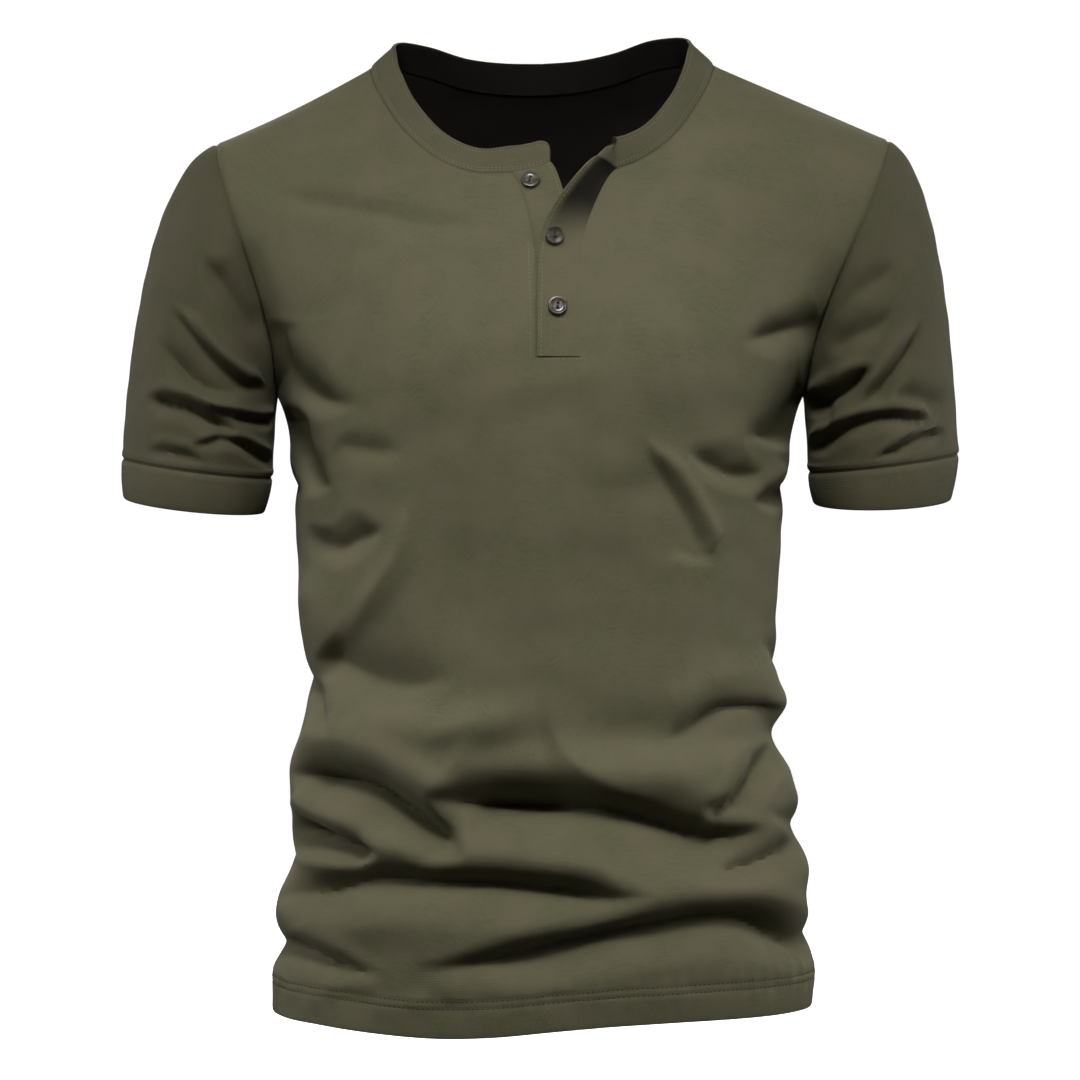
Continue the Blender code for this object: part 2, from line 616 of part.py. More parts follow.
def over_placket(front):
    """The buttonhole strip: sewn to the left edge of the slot, its open top lifted forwards."""
    edge = SIDE_STEPS + NECK_STEPS + SLOT_STEPS
    first = len(body_levels()) - 1 + SLOT_BOTTOM_ROW
    last = len(front) - 1
    normals = grid_normals(front)
    rows = []
    for row in range(first, last + 1):
        normal = normals[row, edge]
        part = (row - first) / (last - first)
        lifted = ramp((part - FLAP_LIFT_FROM) / (1.0 - FLAP_LIFT_FROM))
        aim = np.array([-1.0, 0.0, FLAP_RISE * lifted])
        flat = unit(aim - (aim @ normal) * normal)
        out = normal + np.array([0.0, -FLAP_TOWARDS_VIEW, 0.0])
        out = unit(out - (out @ flat) * flat)
        place = front[row, edge]
        strip = [place]
        for bend in FLAP_BENDS:
            angle = math.radians(FLAP_LIFT) * lifted * bend
            step = flat * math.cos(angle) + out * math.sin(angle)
            place = place + step * FLAP_WIDTH / len(FLAP_BENDS)
            strip.append(place)
        rows.append(strip)
    return np.array(rows)


def band_grid(front, back, under, over):
    """The neckband's surface above the neck seam, from the button strip's free edge right round."""
    edge = SIDE_STEPS + NECK_STEPS
    right = front[-1, SIDE_STEPS : edge + 1][::-1]
    behind = back[-1, SIDE_STEPS : SIDE_STEPS + BACK_NECK_STEPS + 1]
    left = front[-1, edge + SLOT_STEPS : -SIDE_STEPS][::-1]
    button_end = under[-1, 1:][::-1]
    flap_end = over[-1, 1:]
    seam = np.concatenate([button_end, right, behind[1:-1], left, flap_end])
    start = len(button_end)
    hinge = len(seam) - len(flap_end) - 1
    reach = along(seam)
    turns = np.unwrap(np.arctan2(seam[:, 1], seam[:, 0]))
    facing = -np.sin(turns)
    lean = np.where(
        facing > 0,
        BAND_LEAN_SIDE + (BAND_LEAN_FRONT - BAND_LEAN_SIDE) * facing,
        BAND_LEAN_SIDE + (BAND_LEAN_BACK - BAND_LEAN_SIDE) * -facing,
    )
    run = np.gradient(seam, axis=0)
    run[:, 2] = 0.0
    run = unit(run)
    inward = np.stack([-run[:, 1], run[:, 0], np.zeros(len(run))], axis=1)
    inward *= np.sign(-(inward * seam).sum(axis=1))[:, None]
    near_flap = ramp(1.0 - (reach[hinge] - reach) / BAND_RAISE_OVER)
    lean -= BAND_RAISE_UNDER * ramp(1.0 - reach / BAND_RAISE_OVER) + BAND_RAISE_FLAP * near_flap
    lean = np.radians(lean)[:, None]
    stand = inward * np.sin(lean) + np.array([0.0, 0.0, 1.0]) * np.cos(lean)
    stand[:, 0] += BAND_FLAP_TILT * near_flap
    stand = unit(stand)
    stand[:start] = stand[start]
    turned = ramp((reach[hinge:] - reach[hinge]) / FLAP_WIDTH)[:, None]
    stand[hinge:] = unit(stand[hinge] * (1.0 - turned) + np.array(BAND_FLAP_END) * turned)
    width = np.full(len(seam), BAND_WIDTH)
    width[[0, -1]] -= BAND_CORNER
    top = seam + stand * width[:, None]
    return np.array([seam, (seam + top) / 2.0, top])


def panel_faces(rows, columns, looped, missing=()):
    """The grid's cells as corners (row, column), outward, without those that are missing."""
    cells = []
    across = columns if looped else columns - 1
    for row in range(rows - 1):
        for col in range(across):
            if (row, col) in missing:
                continue
            beside = (col + 1) % columns
            cells.append(((row, col), (row, beside), (row + 1, beside), (row + 1, col)))
    return cells


class Panel:
    """A piece of cloth as a grid of outer points and the cells that it fills."""

    def __init__(
        self, name, grid, looped=False, missing=(), turned=False, trims=(), trim=SEAM_TRIM, wall=BODY_WALL,
        proud=0.0,
    ):
        self.name = name
        self.family = name.split("_")[0].replace("back", "front")
        self.grid = grid
        self.looped = looped
        self.turned = turned
        self.trims = trims
        self.trim = trim
        self.wall = wall
        self.proud = proud
        self.cells = panel_faces(grid.shape[0], grid.shape[1], looped, missing)
        if turned:
            self.cells = [cell[::-1] for cell in self.cells]

    def add_normals(self, sums):
        for cell in self.cells:
            corners = [self.grid[place] for place in cell]
            face = np.cross(corners[2] - corners[0], corners[3] - corners[1])
            for corner in corners:
                families = sums.setdefault(tuple(np.round(corner, 3)), {})
                families[self.family] = families.get(self.family, 0.0) + face

    def midway(self, place, sums):
        """The normal midway between the pieces that meet at a point, and this piece's own."""
        families = sums[tuple(np.round(self.grid[place], 3))]
        return unit(sum(unit(face) for face in families.values())), unit(families[self.family])

    def offset_at(self, place, sums):
        """Which way the wall's thickness runs, lengthened where the cloth turns at a seam."""
        between, own = self.midway(place, sums)
        return between / max(float(own @ between), 1.0 / MOST_MITRE)

    def edge_places(self, edge):
        """The points on an edge in order, each with the next one into the cloth."""
        rows, columns = self.grid.shape[:2]
        if edge in ("bottom", "top"):
            row, inner = (0, 1) if edge == "bottom" else (rows - 1, rows - 2)
            return [((row, col), (inner, col)) for col in range(columns)]
        col, inner = (0, 1) if edge == "start" else (columns - 1, columns - 2)
        return [((row, col), (row, inner)) for row in range(rows)]

    def trimmed(self, sums):
        """The grid with each sewn edge drawn back from its neighbour, square to the seam."""
        grid = self.grid.copy()
        for edge in self.trims:
            places = self.edge_places(edge)
            line = np.array([self.grid[place] for place, _ in places])
            run = np.roll(line, -1, axis=0) - np.roll(line, 1, axis=0)
            if not (self.looped and edge in ("bottom", "top")):
                run[0] = line[1] - line[0]
                run[-1] = line[-1] - line[-2]
            for (place, inner), tangent in zip(places, run):
                if tuple(np.round(self.grid[place], 3)) not in sums:
                    continue
                between, _ = self.midway(place, sums)
                square = unit(np.cross(tangent, between))
                into = self.grid[inner] - self.grid[place]
                grid[place] += square * self.trim * np.sign(square @ into)
        return grid

    def build(self, sums, material):
        """Makes the closed wall: outer face, inner face and the rims between them."""
        grid = self.trimmed(sums)
        numbers = {}
        outer = []
        inner = []
        for cell in self.cells:
            for place in cell:
                if place in numbers:
                    continue
                numbers[place] = len(outer)
                normal = self.offset_at(place, sums)
                outer.append(grid[place] + normal * self.proud)
                inner.append(grid[place] + normal * (self.proud - self.wall))
        count = len(outer)
        faces = [tuple(numbers[place] for place in cell) for cell in self.cells]
        edges = {(face[i], face[(i + 1) % 4]) for face in faces for i in range(4)}
        rims = sorted((a, b) for a, b in edges if (b, a) not in edges)
        solid = list(faces)
        solid += [tuple(number + count for number in face[::-1]) for face in faces]
        solid += [(b, a, a + count, b + count) for a, b in rims]
        return make_object(self.name, np.array(outer + inner), solid, material)


def make_object(name, points, faces, material):
    mesh = bpy.data.meshes.new(name)
    mesh.from_pydata((points * MM).tolist(), [], faces)
    mesh.materials.append(material)
    mesh.shade_smooth()
    mesh.set_sharp_from_angle(angle=math.radians(50))
    made = bpy.data.objects.new(name, mesh)
    bpy.context.scene.collection.objects.link(made)
    return made


def make_material(look):
    material = bpy.data.materials.new(look["name"])
    material.use_nodes = True
    shader = material.node_tree.nodes["Principled BSDF"]
    shader.inputs["Base Color"].default_value = (*look["colour"], 1.0)
    shader.inputs["Roughness"].default_value = look["roughness"]
    return material


def slot_cells():
    """The cells of the front that the placket's slot leaves out."""
    edge = SIDE_STEPS + NECK_STEPS
    first = len(body_levels()) - 1 + SLOT_BOTTOM_ROW
    last = len(body_levels()) - 1 + ARM_STEPS
    return {(row, col) for row in range(first, last) for col in range(edge, edge + SLOT_STEPS)}


def cuff_rings(side):
    seam = cuff_ring(side, "seam")
    edge = cuff_ring(side, "edge")
    middle = (seam + edge) / 2.0
    middle[:, :2] += unit(middle[:, :2] - middle[:, :2].mean(axis=0)) * CUFF_BULGE
    return np.array([seam, middle, edge])


def place_on(grid, across, level):
    """The point of a strip that lies at this place of the front elevation, and its normal."""
    rows = np.linspace(0, len(grid) - 1, 200)
    cols = np.linspace(0, grid.shape[1] - 1, 60)
    low = np.floor(rows).astype(int).clip(0, len(grid) - 2)
    left = np.floor(cols).astype(int).clip(0, grid.shape[1] - 2)
    up = (rows - low)[:, None, None]
    right = (cols - left)[None, :, None]
    lower = grid[low][:, left] * (1 - right) + grid[low][:, left + 1] * right
    upper = grid[low + 1][:, left] * (1 - right) + grid[low + 1][:, left + 1] * right
    fine = lower * (1 - up) + upper * up
    miss = np.linalg.norm(seen(fine) - np.array([across, level]), axis=-1)
    spot = np.unravel_index(miss.argmin(), miss.shape)
    normal = grid_normals(fine)[spot]
    return fine[spot], normal * -np.sign(normal[1])


def make_button(name, centre, normal, material):
    """A turned disc with a raised rim, its back on the cloth."""
    inner = BUTTON_RADIUS - BUTTON_RIM
    profile = [
        (BUTTON_RADIUS * 0.72, 0.0),
        (BUTTON_RADIUS * 0.95, BUTTON_THICKNESS * 0.27),
        (BUTTON_RADIUS, BUTTON_THICKNESS * 0.58),
        (BUTTON_RADIUS * 0.93, BUTTON_THICKNESS * 0.92),
        (inner, BUTTON_THICKNESS),
        (inner * 0.82, BUTTON_DISH),
    ]
    aside = unit(np.cross(normal, np.array([0.0, 0.0, 1.0])))
    upright = np.cross(aside, normal)
    points = [centre]
    for reach, height in profile:
        for side in range(BUTTON_SIDES):
            turn = 2.0 * math.pi * side / BUTTON_SIDES
            round_it = aside * math.cos(turn) + upright * math.sin(turn)
            points.append(centre + normal * height + round_it * reach)
    points.append(centre + normal * BUTTON_DISH)
    faces = []
    for side in range(BUTTON_SIDES):
        beside = (side + 1) % BUTTON_SIDES
        faces.append((0, 1 + side, 1 + beside))
        for ring in range(len(profile) - 1):
            low = 1 + ring * BUTTON_SIDES
            high = low + BUTTON_SIDES
            faces.append((low + side, high + side, high + beside, low + beside))
        faces.append((high + side, len(points) - 1, high + beside))
    return make_object(name, np.array(points), faces, material)


def build_shirt():
    jersey = make_material(JERSEY)
    pearl = make_material(PEARL)
    front = body_grid(True)
    back = body_grid(False)
    back[:, 0] = front[:, 0]
    back[:, -1] = front[:, -1]
    back[-1, : SIDE_STEPS + 1] = front[-1, : SIDE_STEPS + 1]
    back[-1, -SIDE_STEPS - 1 :] = front[-1, -SIDE_STEPS - 1 :]
    first = len(body_levels()) - 1
    # Above the armpit the side columns are the armhole, which front and back no longer share.
    back[first + 1 : -1, 0] = armhole_line(-1, False)[1:-1]
    back[first + 1 : -1, -1] = armhole_line(1, False)[1:-1]
    panels = [
        Panel("front", front, missing=slot_cells(), trims=("start", "end", "top")),
        Panel("back", back, turned=True, trims=("start", "end", "top")),
    ]
    for side, name in ((-1, "right"), (1, "left")):
        end = 0 if side < 0 else -1
        sleeve = fold_sleeve(side, sleeve_grid(side, front[first:, end], back[first:, end]))
        turned = side > 0
        panels.append(Panel("sleeve_" + name, sleeve, True, turned=turned, trims=("bottom", "top")))
        panels.append(
            Panel("cuff_" + name, cuff_rings(side), True, turned=turned, trims=("bottom",),
                  wall=DOUBLE_WALL, proud=BAND_PROUD)
        )
    under = under_placket(front)
    over = over_placket(front)
    band = band_grid(front, back, under, over)
    panels.append(Panel("neckband", band, turned=True, trims=("bottom",), wall=DOUBLE_WALL, proud=BAND_PROUD))
    strips = [
        Panel("placket_under", under, trims=("top",), trim=STRIP_TRIM, wall=PLACKET_WALL),
        Panel("placket_over", over[:, ::-1], trims=("start", "end", "top", "bottom"), wall=PLACKET_WALL),
    ]
    sums = {}
    for panel in panels + strips:
        panel.add_normals(sums)
    for panel in panels + strips:
        panel.build(sums, jersey)
    grids = {"placket_under": under, "placket_over": over}
    for button in BUTTONS:
        spot, normal = place_on(grids[button["on"]], button["across"], button["level"])
        make_button(button["name"], spot + normal * PLACKET_GAP, normal, pearl)


clear_scene()
build_shirt()
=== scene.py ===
import math

import bpy
import numpy as np
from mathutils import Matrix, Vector


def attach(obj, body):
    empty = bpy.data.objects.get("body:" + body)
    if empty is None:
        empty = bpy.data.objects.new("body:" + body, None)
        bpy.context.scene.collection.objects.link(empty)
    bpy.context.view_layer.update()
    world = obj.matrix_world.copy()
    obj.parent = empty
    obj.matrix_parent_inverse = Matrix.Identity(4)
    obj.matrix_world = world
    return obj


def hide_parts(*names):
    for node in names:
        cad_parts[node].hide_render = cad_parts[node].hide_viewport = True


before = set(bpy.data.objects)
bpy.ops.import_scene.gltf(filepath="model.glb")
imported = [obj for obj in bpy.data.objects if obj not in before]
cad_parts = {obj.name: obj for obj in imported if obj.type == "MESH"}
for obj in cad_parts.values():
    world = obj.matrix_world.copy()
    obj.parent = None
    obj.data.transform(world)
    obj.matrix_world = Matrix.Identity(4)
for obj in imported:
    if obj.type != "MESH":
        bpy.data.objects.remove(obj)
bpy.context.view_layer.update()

# The looks of the henley T-shirt: each piece of cloth as a fine folded shell on its solid's form, the
# stitching, the buttons, the fabric and the studio. Sizes are in millimetres in the frame of the part:
# +Z up, +X towards the wearer's left, -Y to the front. MM turns them into metres.
MM = 0.001
SIDES = {-1: "right", 1: "left"}  # the wearer's hand on each side

# Cloth
BODY_WALL = 1.2
DOUBLE_WALL = 2.0
BAND_PROUD = 0.3
PLACKET_WALL = 1.6
PLACKET_GAP = 0.3
MOST_MITRE = 1.5
SEAM_GROOVE = 1.0
SEAM_SPREAD = 2.4

# The front elevation, in which folds are laid out, is as seen from this far in front.
VIEW_DISTANCE = 2600.0
VIEW_LEVEL = -319.6
VIEW_SPAN = 734.4

# Body
HEM_LEVEL = -635.0
ARMPIT_LEVEL = -221.0
FRONT_POWER = 2.35
BACK_POWER = 2.2
HEM_TILT = 0.008
HEM_DIP = 9.0
HEM_DIP_AT = -60.0
HEM_DIP_SPREAD = 85.0
HEM_DIP_HEIGHT = 90.0

# Shoulder and armhole, and how the columns of cloth arrive at the shoulder seam and at the neck seam
SHOULDER_ENDS = {-1: np.array([-220.0, 6.0, -50.2]), 1: np.array([236.8, 6.0, -47.6])}
SHOULDER_CROWNS = {-1: -2.2, 1: 0.0}
ARMHOLE_FRONT = 58.0
ARMHOLE_BACK = 64.0
ARMHOLE_BOW = 6.3
ARMHOLE_SPREAD = 0.42
ARRIVE_FRONT = np.array([(0.0, 0.97, 0.22), (0.0, 0.50, 0.86)])
ARRIVE_BACK = np.array([(0.0, -0.97, 0.02), (0.0, -0.62, 0.78)])

# Placket
SLOT_RIGHT = -2.6
SLOT_LEFT = 25.9
SLOT_RIGHT_OPEN = -20.0
SLOT_LEFT_OPEN = 51.5
OPEN_FROM = 0.60
OPEN_POWER = 1.45
ARM_CLOSE = 1.15
SLOT_BOTTOM = (1.0 / 6.0) ** ARM_CLOSE
UNDER_BOTTOM = (1.0 / 12.0) ** ARM_CLOSE
FLAP_WIDTH = 28.2
FLAP_TUCK = 5.0
FLAP_LIFT = math.radians(56.0)
FLAP_LIFT_FROM = 0.50
FLAP_RISE = 0.13

# Neckband: how far it leans in, and how much less beside its two ends
BAND_WIDTH = 22.0
BAND_LEAN_FRONT = 41.0
BAND_LEAN_SIDE = 50.0
BAND_LEAN_BACK = 20.0
BAND_CORNERS = ((13.0, 11.0), (6.0, 7.0))
BAND_RAISE_UNDER = 15.0
BAND_RAISE_FLAP = 24.0
BAND_RAISE_OVER = 60.0
BAND_FLAP_TILT = 0.16
BAND_FLAP_END = (0.40, 0.79, 0.46)
BAND_NOTCH = 1.6

# Sleeve and cuff: how the sleeve's cloth leaves the armhole under the arm, and what is added to that
# in front and behind; then how it arrives at the cuff, and how strongly under and over the arm
SLEEVE_UNDER = np.array([5.0, 0.0, -60.0])
SLEEVE_FLANK = np.array([34.0, 0.0, -46.0])
SLEEVE_BELLY = np.array([0.0, -44.0, 0.0])
CUFF_BELLY = np.array([0.0, 14.0, 0.0])
CUFF_LEAN = 0.05
CUFF_REACH_UNDER = 58.0
CUFF_REACH_OVER = 230.0
CUFF_HALF_DEPTH = 61.0
CUFF_EDGE_DEPTH = 0.96

# Buttons
BUTTON_RADIUS = 6.3
BUTTON_THICKNESS = 2.6
BUTTON_RIM = 1.3
BUTTON_HOLE = 0.85
BUTTON_HOLE_GAP = 1.55
BUTTON_DISH = 0.9
BUTTON_SIDES = 56
DRILL_SIDES = 20
THREAD_SIDES = 8
THREAD_RADIUS = 0.3

# Mesh density. ROW_STEP is in millimetres, and the others are counts.
ROW_STEP = 2.8
SHOULDER_STEPS = 42
NECK_STEPS = 42
BACK_NECK_STEPS = 60
SLOT_STEPS = 12
ARM_STEPS = 84
SLEEVE_STEPS = 62
STRIP_STEPS = 14

# How far above its lower edge the hem's rows of points lie, and its two rows of stitches
HEM_ROWS = (0.0, 0.7, 1.8, 4.0, 7.0, 10.0, 13.0, 15.6, 17.6, 18.8, 19.6, 20.6, 22.0, 23.4, 24.4, 25.2,
            26.4, 28.4, 31.0)
HEM_STITCHES = (19.6, 24.4)

# Rows across the neckband and the cuffs, as shares of their widths
BAND_ROWS = np.array([0.0, 0.03, 0.08, 0.14, 0.20, 0.27, 0.40, 0.55, 0.70, 0.80, 0.86, 0.92, 0.97, 1.0])
CUFF_ROWS = np.array([0.0, 0.03, 0.08, 0.16, 0.28, 0.42, 0.58, 0.74, 0.88, 0.95, 0.98, 1.0])

# How many times the cloth at the shoulders is evened out and over how many rows, and over how many
# rows folds fade below a seam
SETTLE_ROUNDS = 50
SETTLE_ROWS = 26.0
SEAM_ROWS = 14.0

# The round at the bottom of a crease, and the share of a swell's length over which an end fades
CREASE_ROUND = 1.6
SWELL_TAPER = 0.4


# One row for each level of the body, hem to armpit: the level, the half widths to the wearer's right
# and left, and the depths forward and backward.
SECTIONS = np.array([
    (-640, 182, 184.5, 117, 108),
    (-612, 181, 186, 119, 110),
    (-585, 175, 181, 121, 111),
    (-571, 178.8, 179.5, 123, 112),
    (-558, 176.5, 180.5, 124, 112),
    (-544, 170.5, 182.7, 124, 109),
    (-517, 167.3, 173.5, 122, 103),
    (-490, 169.3, 173.3, 119, 96),
    (-476, 169.8, 170, 117, 92),
    (-449, 162.5, 157.2, 113, 87),
    (-430, 158, 167.5, 112, 86),
    (-410, 156.5, 160.5, 112.5, 86.5),
    (-380, 162.3, 159.3, 113, 88),
    (-326, 164.6, 162.5, 116.5, 96),
    (-286, 167.3, 165.9, 120.5, 103),
    (-252, 169.9, 169.6, 123.5, 109.5),
    (-236, 172.3, 172.3, 124.2, 111),
    (-221, 178.8, 179.3, 124.5, 112),
])

# The neck seam, from the shoulder seams to the middle: how far out it lies to the right and to the
# left, how deep it is, and its level on each side.
FRONT_NECK = np.array([
    (115.5, 118.5, 5, 2.5, 4.5),
    (112.3, 114, -13.5, -11, -10),
    (105.8, 107, -28, -23, -24),
    (97.8, 97.8, -39.5, -36.5, -38),
    (84.8, 84.3, -53, -52, -53.5),
    (66.5, 66.5, -65.5, -67, -67),
    (44, 44, -75.5, -76, -75.5),
    (20, 20, -80.5, -76.8, -76.8),
    (0, 0, -82, -77, -77),
])
BACK_NECK = np.array([
    (115.5, 118.5, 5, 2.5, 4.5),
    (112, 114, 25, 5, 8),
    (101, 102, 41, 5.5, 9),
    (80, 80, 53, 2.5, 7),
    (50, 50, 60, -6, -2.5),
    (25, 25, 62.5, -9, -7.6),
    (0, 0, 63, -9.6, -9.6),
])

# Each sleeve's cuff seam and cuff edge, by the wearer's hand: its middle, half width and level, how
# much its outer side rises over that level, and how much its front drops below it.
CUFFS = {
    ("right", "seam"): (-232.9, 50.7, -270.8, 6.8, 4),
    ("right", "edge"): (-235.3, 47.8, -295.5, 5.4, 5.4),
    ("left", "seam"): (233.4, 50.8, -267.5, 6.2, 3.8),
    ("left", "edge"): (232.6, 46.6, -292.8, 2, 7),
}

# How far and which way the sleeve cloth sets off from the armhole over the top of the arm.
SLEEVE_CROWNS = {"right": (-130, -45), "left": (99, -42)}


def crease(depth, above, below, roll, start, end, *path, steep=0.55):
    """A crease along its line in the elevation. The cloth above it rolls in by depth over the height
    above, and stands out by roll over that. It comes back out below. The ends taper over the shares
    start and end of the length, and steep is how much of the roll is close to the line."""
    return dict(depth=depth, above=above, below=below, roll=roll, start=start, end=end, path=path, steep=steep)


def swell(out, width, *path):
    """A broad swell, or a hollow: how far it moves the cloth out and over what width it fades."""
    return dict(out=out, width=width, path=path)


# Folds of the body. Those of the back are laid out as seen through the body from the front.
FRONT_CREASES = [
    crease(24, 22, 46, 5, 0.11, 0.14, (-80, -495), (-44, -497), (-14, -497), (34, -500), (75, -508),
           (112, -519), (138, -521), (158, -514)),  # waist shelf
    crease(17, 56, 30, 0, 0.35, 0.4, (-66, -492), (-27, -494), (14, -498), (48, -503),
           steep=0),  # waist slope
    crease(-7, 40, 16, 0, 0.75, 0.5, (2, -402), (7, -442), (15, -462), (31, -479), (54, -489), (95, -498),
           steep=0.15),  # belly crest
    crease(28, 24, 26, 7, 0.14, 0.18, (-172, -479), (-140, -481), (-116, -489), (-94, -503), (-78, -515),
           (-64, -526), (-50, -537)),  # left drape
    crease(-3.5, 12, 12, 0, 0.4, 0.4, (-150, -492), (-128, -499), (-106, -512), (-84, -528), (-62, -540),
           steep=0.3),  # drape crest
    crease(5.5, 10, 8, 1.5, 0.15, 0.4, (-158, -414), (-152, -430), (-146, -444), (-141, -456)),  # left nick
    crease(28, 18, 15, 3, 0.1, 0.3, (-180, -512), (-162, -519), (-144, -526), (-126, -530),
           (-108, -534)),  # left tuck
    crease(19, 20, 32, 5, 0.15, 0.22, (-182, -564), (-162, -558), (-140, -552), (-110, -549), (-75, -552),
           (-24, -554), (17, -559), (45, -564), (82, -562)),  # long left
    crease(19, 20, 26, 4.5, 0.36, 0.12, (-92, -614), (-56, -610), (-14, -604), (14, -598), (46, -591),
           (82, -584), (119, -578), (150, -580), (170, -589), (188, -609)),  # long right
    crease(11, 13, 13, 2.5, 0.2, 0.5, (-180, -588), (-160, -600), (-138, -609), (-104, -617)),  # hem left
    crease(15, 18, 16, 3, 0.25, 0.2, (108, -499), (122, -502), (136, -496), (147, -482),
           (158, -457)),  # right pocket
    crease(10.5, 16, 18, 2.5, 0.45, 0.15, (114, -546), (134, -543), (152, -537), (176, -524)),  # right side
    crease(12, 22, 22, 3, 0.45, 0.15, (78, -456), (100, -452), (112, -443), (124, -436), (144, -434),
           (170, -438)),  # right waist
    crease(12, 58, 22, 0, 0.12, 0.45, (-154, -397), (-136, -407), (-116, -416), (-95, -420), (-75, -417),
           (-54, -408), steep=0.1),  # left waist
    crease(-6.5, 30, 17, 0, 0.45, 0.5, (-150, -404), (-137, -389), (-119, -365), (-105, -344), (-95, -324),
           (-89, -302), (-84, -272), steep=0.5),  # left crest
    crease(15, 23, 13, 1.5, 0.24, 0.22, (-173, -226), (-168, -248), (-163, -266), (-155, -278),
           (-141, -284)),  # arm tuck left
    crease(9, 21, 13, 1, 0.3, 0.3, (-158, -307), (-151, -320), (-141, -326), (-129, -322), (-116, -316),
           (-103, -313), steep=0.15),  # left dimple
    crease(4, 17, 14, 0.5, 0.35, 0.4, (-143, -253), (-122, -258), (-92, -261),
           steep=0.1),  # left breast soft
    crease(13, 30, 16, 1, 0.1, 0.45, (-189, -170), (-182, -195), (-171, -213), (-156, -223), (-139, -227),
           (-120, -227), steep=0.1),  # arm drag left
    crease(20, 74, 9, 0, 1, 0.02, (135, -247), (144, -249), (155, -250), (169, -250), (182, -249),
           steep=0.35),  # arm wedge right
    crease(9, 23, 12, 1.5, 0.45, 0.25, (97, -257), (112, -266), (126, -274), (139, -277), (154, -274),
           steep=0.25),  # right dimple
    crease(7, 12, 10, 2, 0.4, 0.1, (144, -293), (155, -292), (166, -287), (176, -280)),  # right dimple low
    crease(6, 10, 38, 4.2, 0.4, 0.15, (66, -248), (78, -266), (90, -285), (101, -303), (109, -320),
           (115, -332), steep=0.3),  # right drag
    crease(3, 13, 6, 0, 0.5, 0.3, (90, -327), (105, -331), (122, -331)),  # drag end
    crease(9, 18, 20, 1.5, 0.5, 0.05, (134, -184), (150, -182), (166, -178), (182, -174), (192, -172),
           steep=0.3),  # arm drag right
    crease(3.6, 12, 18, 0.6, 0.3, 0.5, (-190, -82), (-160, -88), (-122, -95), (-70, -104), (-20, -108),
           steep=0),  # chest streak
]
BACK_CREASES = [
    crease(13, 26, 42, 3, 0.2, 0.25, (-150, -470), (-96, -488), (-30, -493), (38, -488), (92, -474),
           (140, -452)),  # lumbar shelf
    crease(10.5, 20, 30, 3, 0.15, 0.35, (-180, -544), (-120, -560), (-50, -557), (10, -563),
           (66, -574)),  # seat fold
    crease(9, 19, 26, 2.5, 0.35, 0.12, (8, -532), (62, -535), (118, -527), (178, -506)),  # seat fold left
    crease(6.5, 24, 22, 2, 0.2, 0.45, (-166, -402), (-128, -424), (-84, -436),
           (-30, -440)),  # waist drag right
    crease(6.5, 22, 24, 2, 0.45, 0.2, (24, -432), (76, -424), (122, -406), (166, -380)),  # waist drag left
    crease(6.5, 15, 18, 2, 0.4, 0.15, (60, -612), (112, -600), (186, -590)),  # hem drag
    crease(5, 13, 15, 1, 0.2, 0.5, (-180, -598), (-150, -606), (-110, -608), (-66, -604)),  # hem tuck
    crease(5, 14, 18, 1.5, 0.15, 0.5, (-176, -222), (-164, -240), (-146, -256),
           (-118, -266)),  # arm tuck right
    crease(5.5, 15, 18, 1.5, 0.15, 0.5, (178, -222), (160, -244), (138, -262),
           (104, -276)),  # arm tuck left
    crease(3.5, 20, 16, 1, 0.4, 0.4, (-158, -312), (-128, -324), (-92, -326),
           (-52, -316)),  # blade drag right
    crease(4, 20, 18, 1, 0.4, 0.3, (58, -330), (98, -336), (134, -326), (162, -306)),  # blade drag left
]
FRONT_SWELLS = [
    swell(4, 15, (-6, -226), (-4, -300), (-6, -380), (-4, -424)),  # middle ridge
    swell(-3, 20, (-46, -300), (-50, -350), (-46, -400)),  # middle left
    swell(-2.5, 20, (40, -310), (48, -360), (44, -410)),  # middle right
    swell(4, 30, (-70, -440), (-50, -476)),  # belly swell
    swell(3, 36, (-100, -190), (-50, -205)),  # breast right
    swell(3.5, 36, (60, -200), (110, -185)),  # breast left
    swell(-2, 24, (10, -200), (8, -300)),  # breast valley
    swell(3, 14, (150, -300), (158, -340), (156, -390)),  # right side ridge
    swell(3, 14, (-168, -340), (-150, -372), (-148, -398)),  # left fold ridge
    swell(7.5, 15, (-144, -444), (-80, -448), (-20, -440), (4, -432)),  # waist light
    swell(7.5, 13, (44, -462), (84, -474), (128, -482)),  # right crest
    swell(-5.5, 19, (26, -452), (66, -455), (106, -449)),  # right waist hollow
    swell(-2, 14, (-140, -634), (-120, -632)),  # hem hollow
    swell(2.5, 18, (-90, -596), (-50, -600)),  # hem swell
]
BACK_SWELLS = [
    swell(-5, 20, (4, -120), (2, -260), (-2, -420)),  # spine
    swell(4, 38, (-92, -130), (-84, -200)),  # blade right
    swell(4, 38, (94, -128), (84, -204)),  # blade left
    swell(3, 14, (-150, -280), (-110, -330), (-90, -390)),  # drag right
    swell(3, 14, (152, -270), (118, -318), (104, -370)),  # drag left
    swell(3, 30, (-80, -520), (-60, -540)),  # seat right
    swell(3, 30, (70, -560), (90, -590)),  # seat left
]

